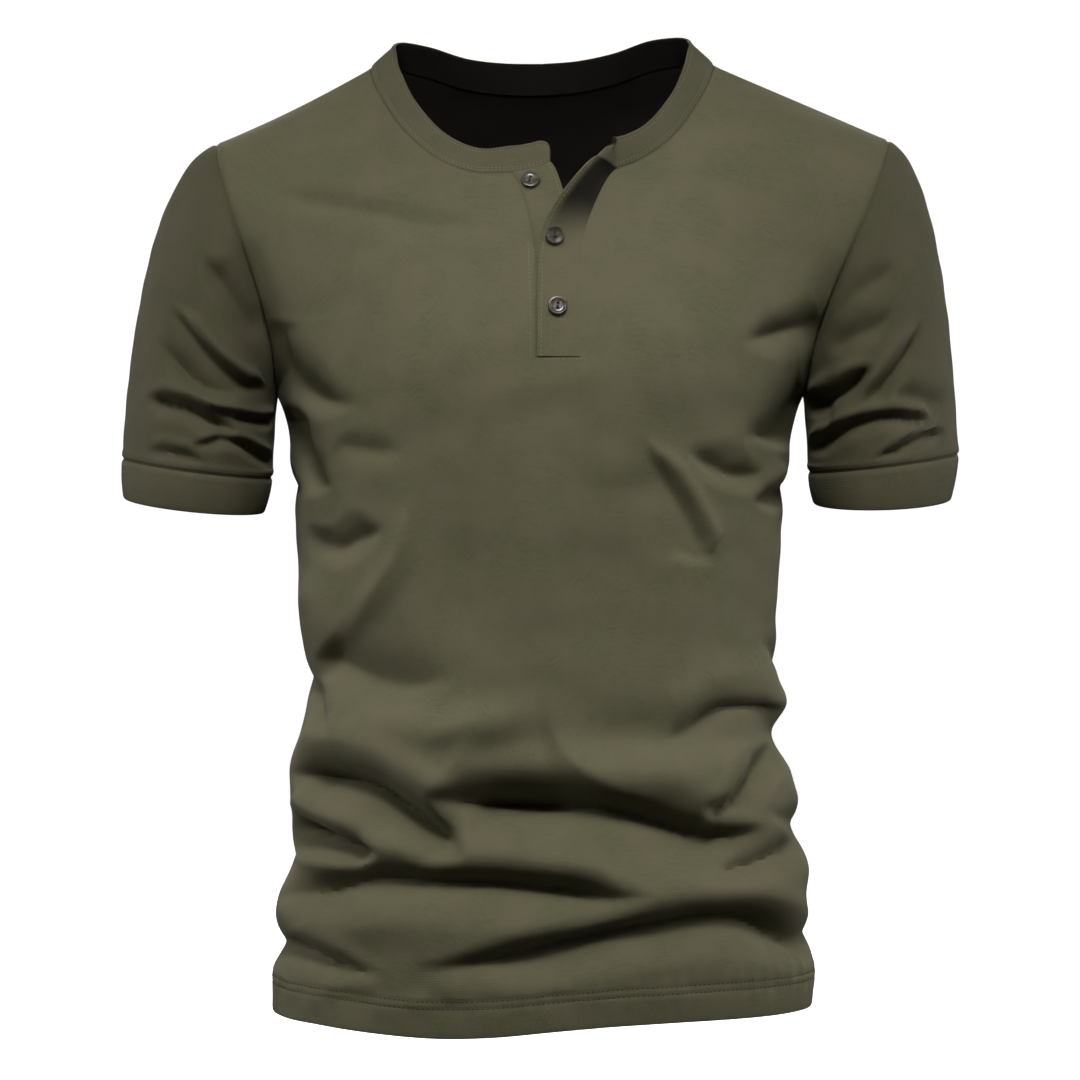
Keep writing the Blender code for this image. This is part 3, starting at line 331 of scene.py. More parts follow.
# Folds of the sleeves, seen from the front, by the wearer's hand and by the face they are on.
SLEEVE_CREASES = {
    ("right", "front"): [
        crease(5.4, 7, 14, 4.2, 0.3, 0.12, (-255, -157), (-242, -174), (-228, -191), (-214, -204),
               (-201, -213), (-186, -216)),  # elbow drag
        crease(9.5, 30, 6, 0, 0.4, 0.5, (-262, -180), (-252, -195), (-240, -208), (-227, -217),
               (-208, -219), (-188, -214), steep=0.1),  # elbow arc
        crease(8, 18, 13, 2.5, 0.3, 0.2, (-232, -126), (-214, -146), (-200, -166),
               (-190, -186)),  # crown dimple
        crease(8.5, 10, 12, 3.6, 0.2, 0.2, (-270, -222), (-252, -227), (-238, -231), (-225, -238),
               (-213, -244), (-203, -248)),  # outer cross
        crease(5.5, 5.5, 7, 2.6, 0.4, 0.05, (-232, -227), (-218, -232), (-204, -236), (-192, -238),
               (-176, -237)),  # inner cross
        crease(4.5, 5.5, 7, 2.4, 0.3, 0.05, (-240, -257), (-228, -254), (-214, -252), (-202, -255),
               (-192, -261), (-178, -267)),  # cuff tuck
        crease(3.5, 7, 8, 1.6, 0.3, 0.4, (-270, -259), (-254, -260), (-240, -263),
               (-226, -268)),  # outer low
    ],
    ("right", "back"): [
        crease(5.5, 16, 14, 2, 0.2, 0.2, (-268, -190), (-240, -206), (-210, -216),
               (-180, -222)),  # back drag
        crease(4.5, 13, 12, 2, 0.2, 0.3, (-276, -236), (-250, -240), (-224, -250),
               (-196, -254)),  # back low
        crease(3, 14, 12, 1.5, 0.4, 0.4, (-250, -132), (-228, -152), (-206, -168)),  # back crown
    ],
    ("left", "front"): [
        crease(11, 10, 10, 4.6, 0.05, 0.4, (174, -227), (186, -226), (198, -222), (210, -214), (220, -206),
               (232, -202)),  # inner cross
        crease(6.5, 8, 12, 3, 0.2, 0.35, (220, -228), (232, -216), (242, -204), (251, -191), (258, -178),
               (262, -168)),  # outer drag
        crease(6, 7, 11, 3.6, 0.1, 0.12, (182, -262), (192, -252), (204, -245), (220, -239), (240, -236),
               (258, -238), (268, -241)),  # low arc
        crease(4.5, 6, 8, 3, 0.3, 0.2, (226, -264), (240, -260), (250, -254), (262, -249),
               (278, -247)),  # cuff tuck
        crease(4, 14, 12, 1, 0.4, 0.2, (236, -222), (254, -222), (276, -230)),  # outer hollow
        crease(4, 8, 8, 1.5, 0.3, 0.4, (186, -226), (196, -236), (190, -246)),  # inner nick
        crease(5, 17, 12, 1.5, 0.2, 0.4, (196, -168), (210, -154), (228, -142), (246, -132)),  # crown soft
        crease(5.5, 20, 12, 1.5, 0.2, 0.4, (194, -192), (210, -182), (228, -174),
               (244, -160)),  # middle soft
    ],
    ("left", "back"): [
        crease(5.5, 16, 14, 2, 0.2, 0.2, (180, -214), (206, -222), (236, -214), (266, -196)),  # back drag
        crease(4.5, 13, 12, 2, 0.3, 0.2, (192, -252), (222, -244), (252, -240), (278, -232)),  # back low
        crease(3, 14, 12, 1.5, 0.4, 0.4, (206, -164), (230, -150), (254, -128)),  # back crown
    ],
}

# Folds that run round the body's sides, laid out in the side elevation: across is forward.
SIDE_CREASES = {
    "right": [
        crease(3, 14, 16, 1, 0.3, 0.3, (-70, -426), (-30, -416), (10, -408), (60, -400)),  # side waist
        crease(3.5, 15, 16, 1, 0.3, 0.3, (-70, -540), (-20, -534), (20, -524), (72, -508)),  # side hip
        crease(3, 12, 14, 1, 0.3, 0.3, (-64, -600), (-16, -592), (30, -590), (76, -584)),  # side hem
        crease(3.5, 16, 18, 1, 0.3, 0.4, (-60, -292), (-20, -284), (20, -280), (64, -292)),  # side arm
    ],
    "left": [
        crease(3, 14, 16, 1, 0.3, 0.3, (-66, -384), (-20, -398), (20, -412), (70, -430)),  # side waist
        crease(3.5, 15, 16, 1, 0.3, 0.3, (-78, -500), (-30, -508), (20, -516), (70, -528)),  # side hip
        crease(3, 12, 14, 1, 0.3, 0.3, (-76, -590), (-30, -584), (20, -586), (66, -600)),  # side hem
        crease(3.5, 16, 18, 1, 0.4, 0.3, (-62, -300), (-20, -286), (24, -280), (60, -284)),  # side arm
    ],
}

# Where the front and the sleeves turn in together beside the armhole seams, in the elevation.
ARM_HOLLOWS = [
    swell(-13, 12, (-196, -150), (-188, -180), (-183, -206), (-180, -226)),
    swell(-7, 15, (-212, -112), (-200, -136), (-192, -164)),
    swell(-13, 12, (196, -148), (188, -178), (183, -204), (180, -224)),
    swell(-3, 14, (208, -120), (200, -140), (192, -166)),
]

# Each button: the placket strip that it lies on, its place in the front elevation, and its turn.
BUTTONS = {
    "button_top": ("placket_under", -6.8, -75.2, 0.25),
    "button_middle": ("placket_over", 9.6, -112.4, -0.15),
    "button_bottom": ("placket_over", 12, -160.6, 0.12),
}

# Stitches: the place of each ring along a stitch and its share of the width, and the length, gap
# and width of each kind
STITCH_SHAPE = np.array([(-0.5, 0.15), (-0.32, 0.9), (0.0, 1.0), (0.32, 0.9), (0.5, 0.15)])
STITCH_SIDES = 6
STITCH_RISE = 0.12
STITCH_FLATNESS = 0.4
HEM_THREAD = (2.2, 1.1, 0.9)
CUFF_THREAD = (2.0, 1.0, 0.7)
NECK_THREAD = (1.9, 0.9, 0.5)
STRIP_THREAD = (2.0, 0.9, 0.5)
STRIP_STITCHES = 2.6  # how far inside a placket strip's free edge its stitches run

# How strong the knit's bumps are, and how high they are in metres
KNIT_STRENGTH = 0.45
KNIT_HEIGHT = 0.00025

# Studio
FLOOR_LEVEL = -790.0
FLOOR_REACH = 9000.0
DOME_RADIUS = 8500.0
DOME_SIDES = 32
SENSOR_WIDTH = 36.0

# Each light: its place, where it points, its size, its power and its spread, in metres, watts
# and degrees
LIGHTS = {
    "key": ((0.05, -1.85, 1.45), (0.0, 0.0, -0.32), (0.8, 0.7), 2.0, 27.0),
    "side_right": ((-2.0, -1.0, 0.6), (0.0, 0.0, -0.4), (1.0, 1.4), 8.2, 180.0),
    "side_left": ((2.0, -1.0, 0.6), (0.0, 0.0, -0.4), (1.0, 1.4), 8.2, 180.0),
    "rim_right": ((-2.0, 0.5, 0.0), (-0.15, 0.0, -0.4), (0.5, 1.6), 11.0, 180.0),
    "rim_left": ((2.0, 0.5, 0.0), (0.15, 0.0, -0.4), (0.5, 1.6), 11.0, 180.0),
    "low_right": ((-1.8, -1.2, 0.7), (-0.12, 0.0, -0.5), (0.5, 0.5), 0.17, 20.0),
    "low_left": ((1.8, -1.2, 0.7), (0.12, 0.0, -0.5), (0.5, 0.5), 0.17, 20.0),
    "back": ((0.0, 2.4, 1.3), (0.0, 0.0, -0.35), (1.6, 1.0), 40.0, 180.0),
}


def ramp(value):
    """Rises smoothly from 0 to 1 as value goes from 0 to 1."""
    held = np.clip(value, 0.0, 1.0)
    return held * held * (3.0 - 2.0 * held)


def bell(distance, width):
    """1 at no distance, and fading over the width."""
    return np.exp(-((distance / width) ** 2))


def unit(vectors):
    return vectors / np.maximum(np.linalg.norm(vectors, axis=-1, keepdims=True), 1e-9)


def hermite(first, last, leaving, arriving, part):
    square = part * part
    cube = square * part
    return (
        first * (2 * cube - 3 * square + 1)
        + leaving * (cube - 2 * square + part)
        + last * (3 * square - 2 * cube)
        + arriving * (cube - square)
    )


def curve_through(knots, values, at):
    """A smooth curve through rows of values at the rising knots, read at each place in at."""
    slopes = np.gradient(values, knots, axis=0)
    at = np.clip(np.asarray(at, float), knots[0], knots[-1])
    start = np.clip(np.searchsorted(knots, at, side="right") - 1, 0, len(knots) - 2)
    gap = np.asarray(knots[start + 1] - knots[start])[..., None]
    part = np.asarray(at - knots[start])[..., None] / gap
    return hermite(values[start], values[start + 1], slopes[start] * gap, slopes[start + 1] * gap, part)


def along(points):
    """The distance of each point along a line of points, or up each column of a grid."""
    return np.linalg.norm(np.diff(points, axis=0, prepend=points[:1]), axis=-1).cumsum(axis=0)


def even(count, start=False, end=False):
    """Shares from 0 to 1 in so many even steps, with two more points close to an end that is sewn."""
    shares = np.linspace(0.0, 1.0, count + 1)
    close = np.array([0.22, 0.55]) / count
    if start:
        shares = np.concatenate([shares[:1], close, shares[1:]])
    if end:
        shares = np.concatenate([shares[:-1], 1.0 - close[::-1], shares[-1:]])
    return shares


def read_at(at, reach, values):
    """Rows of values along a line, read where its distance from the start is at."""
    return np.stack([np.interp(at, reach, column) for column in values.T], axis=-1)


def marked(points, marks, parts):
    """Splits a line at the marks, which are distances along it, and each part at its shares."""
    places = [marks[i] + (marks[i + 1] - marks[i]) * part for i, part in enumerate(parts)]
    places = np.concatenate([places[0]] + [part[1:] for part in places[1:]])
    return read_at(places, along(points), points)


SHOULDER_PARTS = even(SHOULDER_STEPS, start=True)
NECK_PARTS = even(NECK_STEPS)
SIDE_PARTS = even(SHOULDER_STEPS + NECK_STEPS, start=True)
SLOT_PARTS = even(SLOT_STEPS)
BACK_NECK_PARTS = even(BACK_NECK_STEPS)
BACK_PARTS = even(2 * SHOULDER_STEPS + BACK_NECK_STEPS, start=True, end=True)
ARM_PARTS = even(ARM_STEPS, end=True) ** ARM_CLOSE
NECK_COLUMN = len(SHOULDER_PARTS) - 1
SLOT_COLUMN = NECK_COLUMN + NECK_STEPS
FLAP_COLUMN = SLOT_COLUMN + SLOT_STEPS
LOW_LEVELS = HEM_LEVEL + np.array(HEM_ROWS)
HIGH_STEPS = round((ARMPIT_LEVEL - LOW_LEVELS[-1]) / ROW_STEP)
BODY_LEVELS = np.concatenate([LOW_LEVELS, np.linspace(LOW_LEVELS[-1], ARMPIT_LEVEL, HIGH_STEPS + 1)[1:]])
ARMPIT_ROW = len(BODY_LEVELS) - 1
SLOT_ROW = ARMPIT_ROW + int(np.argmax(ARM_PARTS > SLOT_BOTTOM - 1e-6))

# The angle round a sleeve of each point of its rings, 0 at the armpit and growing up the front
TURNS = np.concatenate([math.pi * ARM_PARTS, 2.0 * math.pi - math.pi * ARM_PARTS[::-1][1:-1]])


def body_row(level, front):
    """The body's outline at a level, from the right side to the left, round the front or the back."""
    right, left, forward, backward = curve_through(SECTIONS[:, 0], SECTIONS[:, 1:], level)
    power = 2.0 / (FRONT_POWER if front else BACK_POWER)
    turn = np.linspace(0.0, math.pi, 721)
    cosine = np.cos(turn)
    across = -np.sign(cosine) * np.abs(cosine) ** power * np.where(cosine > 0, right, left)
    deep = np.abs(np.sin(turn)) ** power * (-forward if front else backward)
    line = np.stack([across, deep, np.full_like(turn, level)], axis=1)
    reach = along(line)
    if not front:
        return marked(line, [0.0, reach[-1]], [BACK_PARTS])
    marks = [0.0, *np.interp([SLOT_RIGHT, SLOT_LEFT], across, reach), reach[-1]]
    return marked(line, marks, [SIDE_PARTS, SLOT_PARTS, 1.0 - SIDE_PARTS[::-1]])


def neck_half(table, side):
    """One side of the neck seam, from the shoulder seam to the middle."""
    half = int(side > 0)
    rows = table[:, [half, 2, 3 + half]] * [side, 1, 1]
    knots = along(rows)
    return curve_through(knots, rows, np.linspace(0.0, knots[-1], 161))


def shoulder_seam(side):
    """From the armhole to the neck, a little crowned."""
    outer = SHOULDER_ENDS[side]
    part = SHOULDER_PARTS[:, None]
    crown = np.array([0.0, 0.0, SHOULDER_CROWNS[side]]) * np.sin(math.pi * part)
    return outer + (neck_half(FRONT_NECK, side)[0] - outer) * part + crown


def top_edge(table, stops, parts):
    """The front's or the back's upper edge; its neck seam is split where it is this far across."""
    whole = np.concatenate([neck_half(table, -1), neck_half(table, 1)[::-1][1:]])
    reach = along(whole)
    order = np.argsort(whole[:, 0])
    marks = [0.0, *np.interp(stops, whole[order, 0], reach[order]), reach[-1]]
    return np.concatenate([shoulder_seam(-1), marked(whole, marks, parts)[1:-1], shoulder_seam(1)[::-1]])


def armhole_line(side, front):
    """The armhole seam from the armpit up to the shoulder."""
    low = np.array([side * SECTIONS[-1, 1 if side < 0 else 2], 0.0, ARMPIT_LEVEL])
    rise = 0.5 - 0.5 * np.cos(math.pi * ARM_PARTS)
    line = low + (SHOULDER_ENDS[side] - low) * rise[:, None]
    line[:, 0] -= side * ARMHOLE_BOW * np.sin(math.pi * (1.0 - rise) ** 2)
    line[:, 1] += np.abs(np.sin(math.pi * ARM_PARTS)) ** 0.9 * (-ARMHOLE_FRONT if front else ARMHOLE_BACK)
    return line


def shares_across(row):
    """How far each point of a row is from its nearer end, 0 at an end and 1 in the middle."""
    reach = along(row)
    return 1.0 - np.abs(2.0 * reach / reach[-1] - 1.0)


def upper_rows(low_row, top_row, open_row, front):
    """Rows above the armpit, as columns of cloth that leave the chest upright and lean to the seams."""
    lean_in = ramp(shares_across(top_row)[:, None] * 1.25)
    at_shoulder, at_neck = ARRIVE_FRONT if front else ARRIVE_BACK
    arriving = unit(at_shoulder + (at_neck - at_shoulder) * lean_in)
    size = np.linalg.norm(top_row - low_row, axis=1)[:, None]
    leaving = np.array([0.0, 0.0, 1.05]) * size
    part = ARM_PARTS[:, None, None]
    rows = hermite(low_row, top_row, leaving, arriving * size * (0.75 + 0.15 * lean_in), part)
    rows += (open_row - top_row) * np.clip((part - OPEN_FROM) / (1.0 - OPEN_FROM), 0.0, 1.0) ** OPEN_POWER
    hold = 1.0 - ramp(shares_across(low_row) / ARMHOLE_SPREAD)[:, None]
    half = rows.shape[1] // 2
    for side, end, reach in ((-1, 0, slice(0, half)), (1, -1, slice(half, None))):
        rows[:, reach] += (armhole_line(side, front) - rows[:, end])[:, None] * hold[reach]
    return rows


def dip_hem(grid):
    """Lets the hem down where it sags in front, and tilts it a little."""
    drop = HEM_DIP * bell(grid[..., 0] - HEM_DIP_AT, HEM_DIP_SPREAD)
    fade = ramp(1.0 - (grid[..., 2] - HEM_LEVEL) / HEM_DIP_HEIGHT)
    grid[..., 2] -= (drop * ramp(-grid[..., 1] / 60.0) - HEM_TILT * grid[..., 0]) * fade


def settle(grid):
    """Evens out the cloth where the chest goes over into the shoulders, keeping every edge."""
    rise = np.arange(len(grid))[1:-1, None, None]
    beside = np.array([shares_across(row) for row in grid])[1:-1, 1:-1, None]
    amount = ramp(1.0 - np.abs(rise - ARMPIT_ROW) / SETTLE_ROWS) + 0.6 * ramp((rise - ARMPIT_ROW) / 10.0)
    amount = np.minimum(amount, 1.0) * ramp(beside / 0.06) * ramp((len(grid) - 1 - rise) / 6.0)
    for _ in range(SETTLE_ROUNDS):
        middle = grid[1:-1, 1:-1]
        even_up = (grid[2:, 1:-1] + grid[:-2, 1:-1]) / 2.0 - middle
        even_across = (grid[1:-1, 2:] + grid[1:-1, :-2]) / 2.0 - middle
        middle += (0.5 * even_up + 0.25 * even_across) * amount
    return grid


def body_grid(front):
    low = np.array([body_row(level, front) for level in BODY_LEVELS])
    if front:
        parts = [NECK_PARTS, SLOT_PARTS, NECK_PARTS]
        closed = top_edge(FRONT_NECK, [SLOT_RIGHT, SLOT_LEFT], parts)
        opened = top_edge(FRONT_NECK, [SLOT_RIGHT_OPEN, SLOT_LEFT_OPEN], parts)
    else:
        closed = opened = top_edge(BACK_NECK, [], [BACK_NECK_PARTS])
    grid = np.concatenate([low, upper_rows(low[-1], closed, opened, front)[1:]])
    dip_hem(grid)
    return settle(grid)


def grid_normals(grid):
    """Outward normals of a grid whose rows rise and whose columns run from right to left in front."""
    return unit(np.cross(np.gradient(grid, axis=1), np.gradient(grid, axis=0)))


def seen(points):
    """Where points lie in the front elevation."""
    scale = VIEW_DISTANCE / (VIEW_DISTANCE + points[..., 1])
    return np.stack([points[..., 0] * scale, VIEW_LEVEL + (points[..., 2] - VIEW_LEVEL) * scale], axis=-1)


def near_line(path, where, reach):
    """The places within reach of a line's box, their distances from it, positive above its
    left-to-right run, and the share of its length where they are nearest."""
    path = np.array(path, float)
    inside = (where >= path.min(axis=0) - reach) & (where <= path.max(axis=0) + reach)
    near = np.nonzero(inside.all(axis=1))[0]
    knots = along(path)
    line = curve_through(knots, path, np.linspace(0.0, knots[-1], 8 * len(path)))
    step = np.diff(line, axis=0)
    offset = where[near][:, None] - line[:-1]
    place = np.clip((offset * step).sum(-1) / (step**2).sum(-1), 0.0, 1.0)
    gap = offset - place[..., None] * step
    distance = np.linalg.norm(gap, axis=-1)
    each = np.arange(len(near)), distance.argmin(axis=-1)
    gap, run = gap[each], step[each[1]]
    turn = np.sign(run[:, 0] * gap[:, 1] - run[:, 1] * gap[:, 0])
    return near, distance[each] * turn, (place[each] + each[1]) / len(step)


def folds_at(places, creases, swells=()):
    """How far the folds move the cloth outwards at each place of a grid in the elevation."""
    where = places.reshape(-1, 2)
    moved = np.zeros(len(where))
    for fold in creases:
        near, height, run = near_line(fold["path"], where, max(fold["above"] * 2.2, fold["below"]) + 4.0)
        fade = ramp(run / fold["start"]) * ramp((1.0 - run) / fold["end"])
        narrow = 0.32 + 0.68 * fade
        above = fold["above"] * narrow
        smooth = np.sqrt(height**2 + CREASE_ROUND**2) - CREASE_ROUND
        close = np.clip(1.0 - smooth / (0.52 * above), 0.0, 1.0) ** 2
        slow = np.clip(1.0 - smooth / above, 0.0, 1.0) ** 2
        rolled = fold["steep"] * close + (1.0 - fold["steep"]) * slow
        back_out = np.clip(1.0 - smooth / (fold["below"] * narrow), 0.0, 1.0) ** 1.7
        bulge = bell(height - above * 1.05, above * 0.55) * (height > -2.0)
        sunk = np.where(height > 0, rolled, back_out)
        moved[near] += fade * (fold["roll"] * bulge - fold["depth"] * sunk)
    for fold in swells:
        near, height, run = near_line(fold["path"], where, fold["width"] * 3.0)
        fade = 0.15 + 0.85 * ramp(run / SWELL_TAPER) * ramp((1.0 - run) / SWELL_TAPER)
        moved[near] += fold["out"] * fade * bell(height, fold["width"])
    return moved.reshape(places.shape[:-1])


def ripple(points, size, seed):
    """Smooth unevenness of the cloth, of about this wavelength, between -1 and 1."""
    rng = np.random.default_rng(seed)
    total = np.zeros(points.shape[:-1])
    for _ in range(10):
        direction = unit(rng.normal(size=3)) * (2.0 * math.pi / size) * rng.uniform(0.6, 1.5)
        total += np.sin(points @ direction + rng.uniform(0.0, 2.0 * math.pi))
    return total / 4.5


def turn_in_arms(grid):
    """Sinks the front's and the sleeves' cloth beside the armpits, the same for all that meet there."""
    where = seen(grid).reshape(-1, 2)
    sunk = np.zeros(len(where))
    for hollow in ARM_HOLLOWS:
        near, height, run = near_line(hollow["path"], where, hollow["width"] * 3.0)
        sunk[near] -= hollow["out"] * (0.2 + 0.8 * ramp(run / 0.5)) * bell(height, hollow["width"])
    grid[..., 1] += sunk.reshape(grid.shape[:-1]) * ramp(-grid[..., 1] / 30.0)
    return grid


def fold_body(grid, front):
    """Folds the front or the back, keeping its seams with the sleeves, the neckband and the strips."""
    normals = grid_normals(grid) * (1.0 if front else -1.0)
    facing = normals[..., 1] * (-1.0 if front else 1.0)
    rise = np.arange(len(grid))[:, None]
    across = np.array([shares_across(row) for row in grid])
    below_seam = ramp((len(grid) - 1 - rise) / SEAM_ROWS)
    below_arm = rise <= ARMPIT_ROW
    creases, swells = (FRONT_CREASES, FRONT_SWELLS) if front else (BACK_CREASES, BACK_SWELLS)
    hold = ramp(across / 0.07) * below_seam
    moved = folds_at(seen(grid), creases, swells) * ramp(facing / 0.35) * hold
    # The folds of the sides, which front and back share at the side seams.
    sideways = np.where(across < 0.02, np.sign(grid[..., 0]), normals[..., 0])
    shared = sum(
        folds_at(grid[..., 1:], SIDE_CREASES[name]) * ramp((side * sideways - 0.35) / 0.5)
        for side, name in SIDES.items()
    )
    moved += shared * np.where(below_arm, ramp((ARMPIT_ROW - rise) / SEAM_ROWS), 0.0)
    # The cloth's own unevenness, and the puckers at the hem's stitches.
    beside_arm = np.where(below_arm, 1.0, ramp(across / 0.10))
    whole = below_seam * beside_arm * np.minimum(1.0, across / 0.05)
    moved += ripple(grid * [0.7, 0.7, 1.3], 34.0, 5) * 0.5 * whole
    moved += ripple(grid * [1.0, 1.0, 0.45], 15.0, 6) * bell(along(grid) - 24.0, 12.0)
    return grid + normals * moved[..., None]


def cuff_ring(side, line):
    """The points of a cuff's seam or edge, in the order of the armhole's."""
    middle, half, level, rise, drop = CUFFS[SIDES[side], line]
    outer, forward = -np.cos(TURNS), np.sin(TURNS)
    deep = -CUFF_HALF_DEPTH * forward * (1.0 if line == "seam" else CUFF_EDGE_DEPTH)
    return np.stack([middle + side * half * outer, deep, level + rise * outer - drop * forward], axis=1)


def sleeve_grid(side, front_edge, back_edge):
    """Rings from the armhole to the cuff; a ring runs from the armpit up the front and down the back."""
    armhole = np.concatenate([front_edge, back_edge[::-1][1:-1]])
    crown = ((1.0 - np.cos(TURNS)) / 2.0)[:, None]
    forward = np.sin(TURNS)[:, None]
    across, fall = SLEEVE_CROWNS[SIDES[side]]
    under = SLEEVE_UNDER * [side, 1, 1]
    flank = SLEEVE_FLANK * [side, 1, 1] * np.abs(forward) ** 1.3
    leaving = under + (np.array([across, 0.0, fall]) - under) * crown + flank + SLEEVE_BELLY * forward
    length = CUFF_REACH_UNDER + (CUFF_REACH_OVER - CUFF_REACH_UNDER) * crown
    arriving = np.array([side * CUFF_LEAN, 0.0, -1.0]) * length + CUFF_BELLY * forward
    parts = even(SLEEVE_STEPS, start=True, end=True)[:, None, None]
    return hermite(armhole, cuff_ring(side, "seam"), leaving, arriving, parts)


def fold_sleeve(side, grid):
    """Folds the front and the back of a sleeve, leaving its two seams where they are."""
    looped = np.concatenate([grid[:, -1:], grid, grid[:, :1]], axis=1)
    normals = grid_normals(looped)[:, 1:-1] * -side
    down = along(grid)
    moved = ripple(grid, 30.0, 11 if side < 0 else 12) * 0.35
    for face, turn in (("front", -1.0), ("back", 1.0)):
        creases = SLEEVE_CREASES[SIDES[side], face]
        moved += ramp(turn * normals[..., 1] / 0.4) * folds_at(seen(grid), creases)
    hold = ramp(down / 16.0) * ramp((down[-1:] - down) / 9.0)
    return grid + normals * (moved * hold)[..., None]


def under_placket(front):
    """The button strip: it starts behind the right panel's edge and crosses the slot."""
    normals = grid_normals(front)
    reach = np.linspace(-FLAP_TUCK, FLAP_WIDTH, STRIP_STEPS + 1)[:-1]
    reach = np.append(reach, [FLAP_WIDTH - 0.7, FLAP_WIDTH])[:, None]
    share = np.maximum(reach, 0.0) / FLAP_WIDTH
    rows = []
    for row, part in enumerate(ARM_PARTS, ARMPIT_ROW):
        if part < UNDER_BOTTOM - 1e-6:
            continue
        seam = front[row, SLOT_COLUMN]
        across = unit(front[row, FLAP_COLUMN] - seam)
        back = unit(front[row, SLOT_COLUMN - 5] - seam)
        lift = np.hstack([-1.5 * share**3, 0.0 * share, 6.0 * share**2]) * ramp(part * 6.0 - 5.0)
        shown = ramp((part - OPEN_FROM) / 0.08)
        depth = (PLACKET_WALL + PLACKET_GAP) * (1.0 - 0.94 * shown * ramp(reach / 2.0))
        place = seam + np.where(reach > 0, across, back) * np.abs(reach)
        rows.append(place + lift - depth * normals[row, SLOT_COLUMN])
    return np.array(rows)


def over_placket(front):
    """The buttonhole strip: sewn to the left edge of the slot, its open top lifted forwards."""
    normals = grid_normals(front)
    shares = np.append(np.linspace(0.0, 1.0, STRIP_STEPS + 1)[:-1], [0.975, 1.0])
    middles = (shares[:-1] + shares[1:]) / 2.0
    rows = []
    for row, part in enumerate(ARM_PARTS, ARMPIT_ROW):
        if part < SLOT_BOTTOM - 1e-6:
            continue
        run = (part - SLOT_BOTTOM) / (1.0 - SLOT_BOTTOM)
        lifted = ramp((run - FLAP_LIFT_FROM) / (1.0 - FLAP_LIFT_FROM))
        normal = normals[row, FLAP_COLUMN]
        aim = np.array([-1.0, 0.0, FLAP_RISE * lifted])
        flat = unit(aim - (aim @ normal) * normal)
        out = normal + np.array([0.0, -3.0, 0.0])
        out = unit(out - (out @ flat) * flat)
        angle = (FLAP_LIFT * lifted * (0.35 + 0.95 * ramp(middles / 0.22) - 0.62 * middles))[:, None]
        steps = (flat * np.cos(angle) + out * np.sin(angle)) * FLAP_WIDTH * np.diff(shares)[:, None]
        rows.append(np.cumsum(np.vstack([front[row, FLAP_COLUMN], steps]), axis=0))
    return np.array(rows)


def band_grid(front, back, under, over):
    """The neckband's surface above the neck seam, from the button strip's free edge right round."""
    right = front[-1, NECK_COLUMN : SLOT_COLUMN + 1][::-1]
    behind = back[-1, NECK_COLUMN : NECK_COLUMN + BACK_NECK_STEPS + 1]
    left = front[-1, FLAP_COLUMN : len(front[-1]) - NECK_COLUMN][::-1]
    tucked = int(np.argmin(np.linalg.norm(under[-1] - right[0], axis=1))) + 1
    button_end = under[-1, tucked:][::-1]
    flap_end = over[-1, 1:]
    seam = np.concatenate([button_end, right, behind[1:-1], left, flap_end])
    start = len(button_end)
    hinge = len(seam) - len(flap_end) - 1
    reach = along(seam)
    facing = -unit(seam[:, :2])[:, 1]
    near_flap = ramp(1.0 - (reach[hinge] - reach) / BAND_RAISE_OVER)
    toward = np.where(facing > 0, BAND_LEAN_FRONT, BAND_LEAN_BACK)
    lean = BAND_LEAN_SIDE + (toward - BAND_LEAN_SIDE) * np.abs(facing)
    lean -= BAND_RAISE_UNDER * ramp(1.0 - reach / BAND_RAISE_OVER) + BAND_RAISE_FLAP * near_flap
    lean = np.radians(lean)[:, None]
    run = unit(np.gradient(seam, axis=0) * [1.0, 1.0, 0.0])
    inward = np.stack([-run[:, 1], run[:, 0], run[:, 2]], axis=1)
    inward *= np.sign(-(inward * seam).sum(axis=1))[:, None]
    stand = inward * np.sin(lean) + np.array([0.0, 0.0, 1.0]) * np.cos(lean)
    stand[:, 0] += BAND_FLAP_TILT * near_flap
    stand = unit(stand)
    stand[:start] = stand[start]
    for _ in range(6):
        inner = unit(stand[:-2] + stand[1:-1] * 2.0 + stand[2:])
        stand[start + 1 : hinge] = inner[start : hinge - 1]
    turned = ramp((reach[hinge:] - reach[hinge]) / FLAP_WIDTH)[:, None]
    stand[hinge:] = unit(stand[hinge] * (1.0 - turned) + np.array(BAND_FLAP_END) * turned)
    # Its two rounded corners, and the notch at the flap's seam.
    width = BAND_WIDTH - BAND_NOTCH * bell(reach - reach[hinge] - 2.0, 3.0)
    for inset, (drop, over_run) in zip((reach, reach[-1] - reach), BAND_CORNERS):
        width -= drop * (1.0 - np.sqrt(1.0 - np.clip(1.0 - inset / over_run, 0.0, 1.0) ** 2))
    grid = seam + stand * width[:, None] * BAND_ROWS[:, None, None]
    # The band turns softly into the flap.
    near = np.arange(hinge - 9, hinge + 8)
    soften = 0.5 * BAND_ROWS[:, None, None] * np.sin(math.pi * (np.arange(17) + 0.5) / 17)[:, None]
    for _ in range(14):
        grid[:, near] += ((grid[:, near - 1] + grid[:, near + 1]) / 2.0 - grid[:, near]) * soften
    return grid


def cuff_rings(side):
    seam, edge = cuff_ring(side, "seam"), cuff_ring(side, "edge")
    outward = unit((seam - seam.mean(axis=0)) * [1.0, 1.0, 0.0])
    wave = ripple(seam, 60.0, 21 if side < 0 else 22)[:, None] * outward
    share = CUFF_ROWS[:, None, None]
    return seam + (edge - seam) * share + outward * 0.8 * np.sin(math.pi * share) + wave * 0.5 * share


